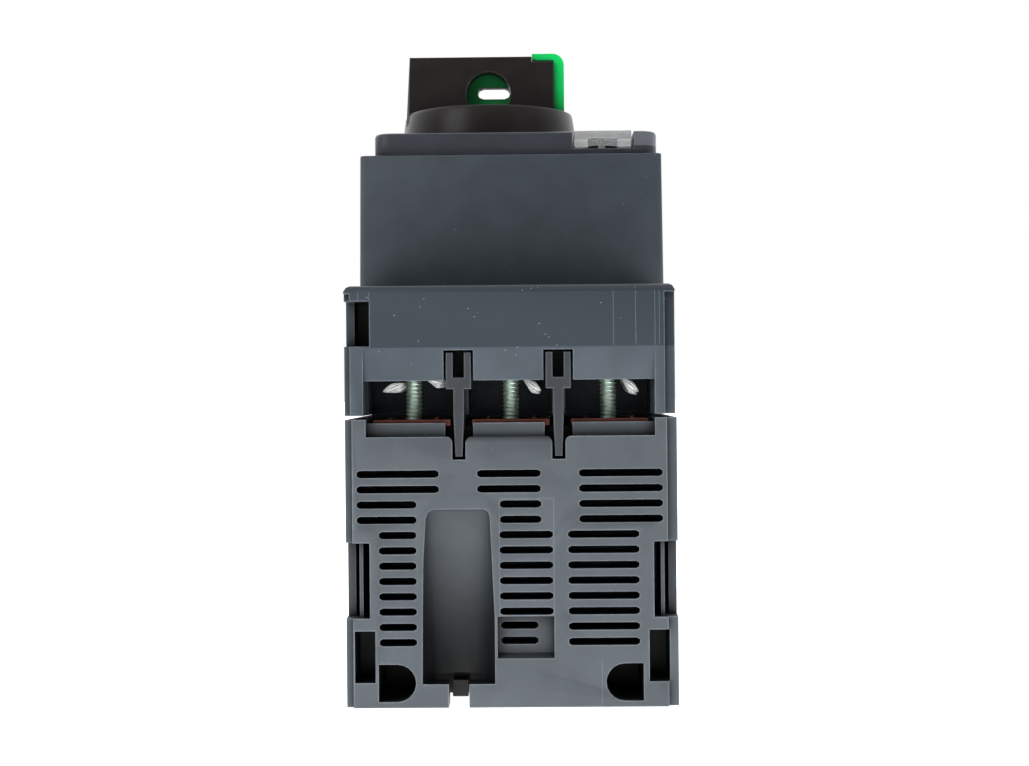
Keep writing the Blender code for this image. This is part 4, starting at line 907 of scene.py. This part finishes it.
def square_plate(mesh, x0, y0, low, high, half, hole):
    """A square plate with rounded corners and a round hole."""
    count = 32
    loops = []
    for z in (low, high):
        outer, inner = [], []
        for step in range(count):
            turn = 2.0 * math.pi * step / count
            c, s = math.cos(turn), math.sin(turn)
            span = half / (abs(c) ** 8 + abs(s) ** 8) ** 0.125
            outer.append(mesh.verts.new((x0 + span * c, y0 + span * s, z)))
            inner.append(mesh.verts.new((x0 + hole * c, y0 + hole * s, z)))
        loops.append((outer, inner))
    faces = []
    (low_out, low_in), (high_out, high_in) = loops
    for here in range(count):
        after = (here + 1) % count
        for a, b in ((low_out, high_out), (high_out, high_in), (high_in, low_in),
                     (low_in, low_out)):
            faces.append(mesh.faces.new((a[here], a[after], b[after], b[here])))
    bmesh.ops.recalc_face_normals(mesh, faces=faces)


for end, side in (("load", -1.0), ("line", 1.0)):
    for number, x in enumerate(POLES, 1):
        washer = bmesh.new()
        square_plate(washer, x, side * TERMINAL_Y, WASHER_FROM, WASHER_TO, WASHER_HALF,
                     WASHER_HOLE)
        for facing in (-1.0, 1.0):
            row = side * TERMINAL_Y + facing * CLAW_ROW
            for offset, height, angle, half_length in CLAWS[end, number]:
                claw(washer, x, row, facing, offset, height, angle, half_length)
        finished(f"{end}_clamp_plate_{number}", washer, BRIGHT, f"{end}_clamp_{number}",
                 [f"{end}_clamp_washer_{number}"])


# ------------------------------------------------------------ copper
# The terminal plates and conductors are stamped from copper strip and have gone brown.
# Two small pips are pressed up in each plate, beside the screw.
COPPER = plated("tarnished_copper", (0.17, 0.058, 0.042), (0.09, 0.040, 0.032), 0.45)
PIP_X = 3.3 * MM
PIP_Y = TERMINAL_Y + 2.0 * MM
PIP_Z = 38.8 * MM
PIP_RADIUS = 0.5 * MM
for number, x in enumerate(POLES, 1):
    for end, side, part in (("load", -1.0, "terminal_plate"), ("line", 1.0, "conductor")):
        plate = merged(f"{end}_{part}_{number}")
        for offset in (-PIP_X, PIP_X):
            centre = Vector((x + offset, side * PIP_Y, PIP_Z))
            pip = bmesh.ops.create_uvsphere(plate, u_segments=10, v_segments=6,
                                            radius=PIP_RADIUS)["verts"]
            for vert in pip:
                vert.co = centre + vert.co
        finished(f"{end}_copper_{number}", plate, COPPER, "root",
                 [f"{end}_{part}_{number}"], 0.05 * MM, 1)
    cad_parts[f"fixed_contact_{number}"].material_slots[0].material = COPPER
    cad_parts[f"moving_contact_{number}"].material_slots[0].material = COPPER


# ------------------------------------------------------------ phase barriers
# Forked tongues of the front housing's polyamide hang between the poles and drop into the
# notches of the rear housing, so that the poles stay insulated from each other.
BARRIER_GREY = moulding("barrier_grey", (0.042, 0.048, 0.054), 0.42, grain=7000.0,
                        depth=0.000006, specks=0.5, edge_highlight=0.9, painted_shade=0.5, reach=0.003)
for end in ("load", "line"):
    for number in (1, 2):
        softened(f"{end}_phase_barrier_{number}", BARRIER_GREY, "root",
                 0.1 * MM)


# ------------------------------------------------------------ rail clip
# The black clip slides under the rear housing and snaps over the rail's lower flange. A
# folded leaf of spring steel holds it in.
CLIP_STEEL = plated("blued_spring_steel", (0.42, 0.42, 0.44), (0.25, 0.24, 0.25), 0.34)
softened("rail_clip", BLACK, "clip", 0.12 * MM)
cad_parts["clip_spring"].material_slots[0].material = CLIP_STEEL


# ------------------------------------------------------------ switching mechanism
# Inside, a moulded carrier lifts three spring-loaded bridges off the fixed contacts. Coils,
# bimetals and plungers work the trip bar, and steel plates in each pole cool the arc.
STEEL = plated("bare_steel", (0.58, 0.58, 0.57), (0.40, 0.39, 0.38), 0.3)
BIMETAL = plated("bimetal_strip_alloy", (0.56, 0.52, 0.44), (0.40, 0.38, 0.34), 0.34)
TAN = moulding("inner_tan", (0.30, 0.27, 0.22), 0.5, grain=6000.0, specks=0.1, painted_shade=0.5)
WIRE = plated("enamelled_wire", (0.55, 0.22, 0.08), (0.38, 0.14, 0.05), 0.28)


def refinish(material, *names):
    for name in names:
        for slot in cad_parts[name].material_slots:
            slot.material = material


for number in (1, 2, 3):
    refinish(STEEL, f"arc_chute_{number}", f"magnet_plunger_{number}")
    refinish(BIMETAL, f"bimetal_strip_{number}")
    refinish(WIRE, f"magnet_coil_{number}")
    refinish(CLIP_STEEL, f"contact_spring_{number}")
refinish(CLIP_STEEL, "opening_spring")
refinish(STEEL, "latch_lever", "latch_frame")
refinish(TAN, "contact_carrier", "knob_shaft")
refinish(WHITE, "trip_bar")
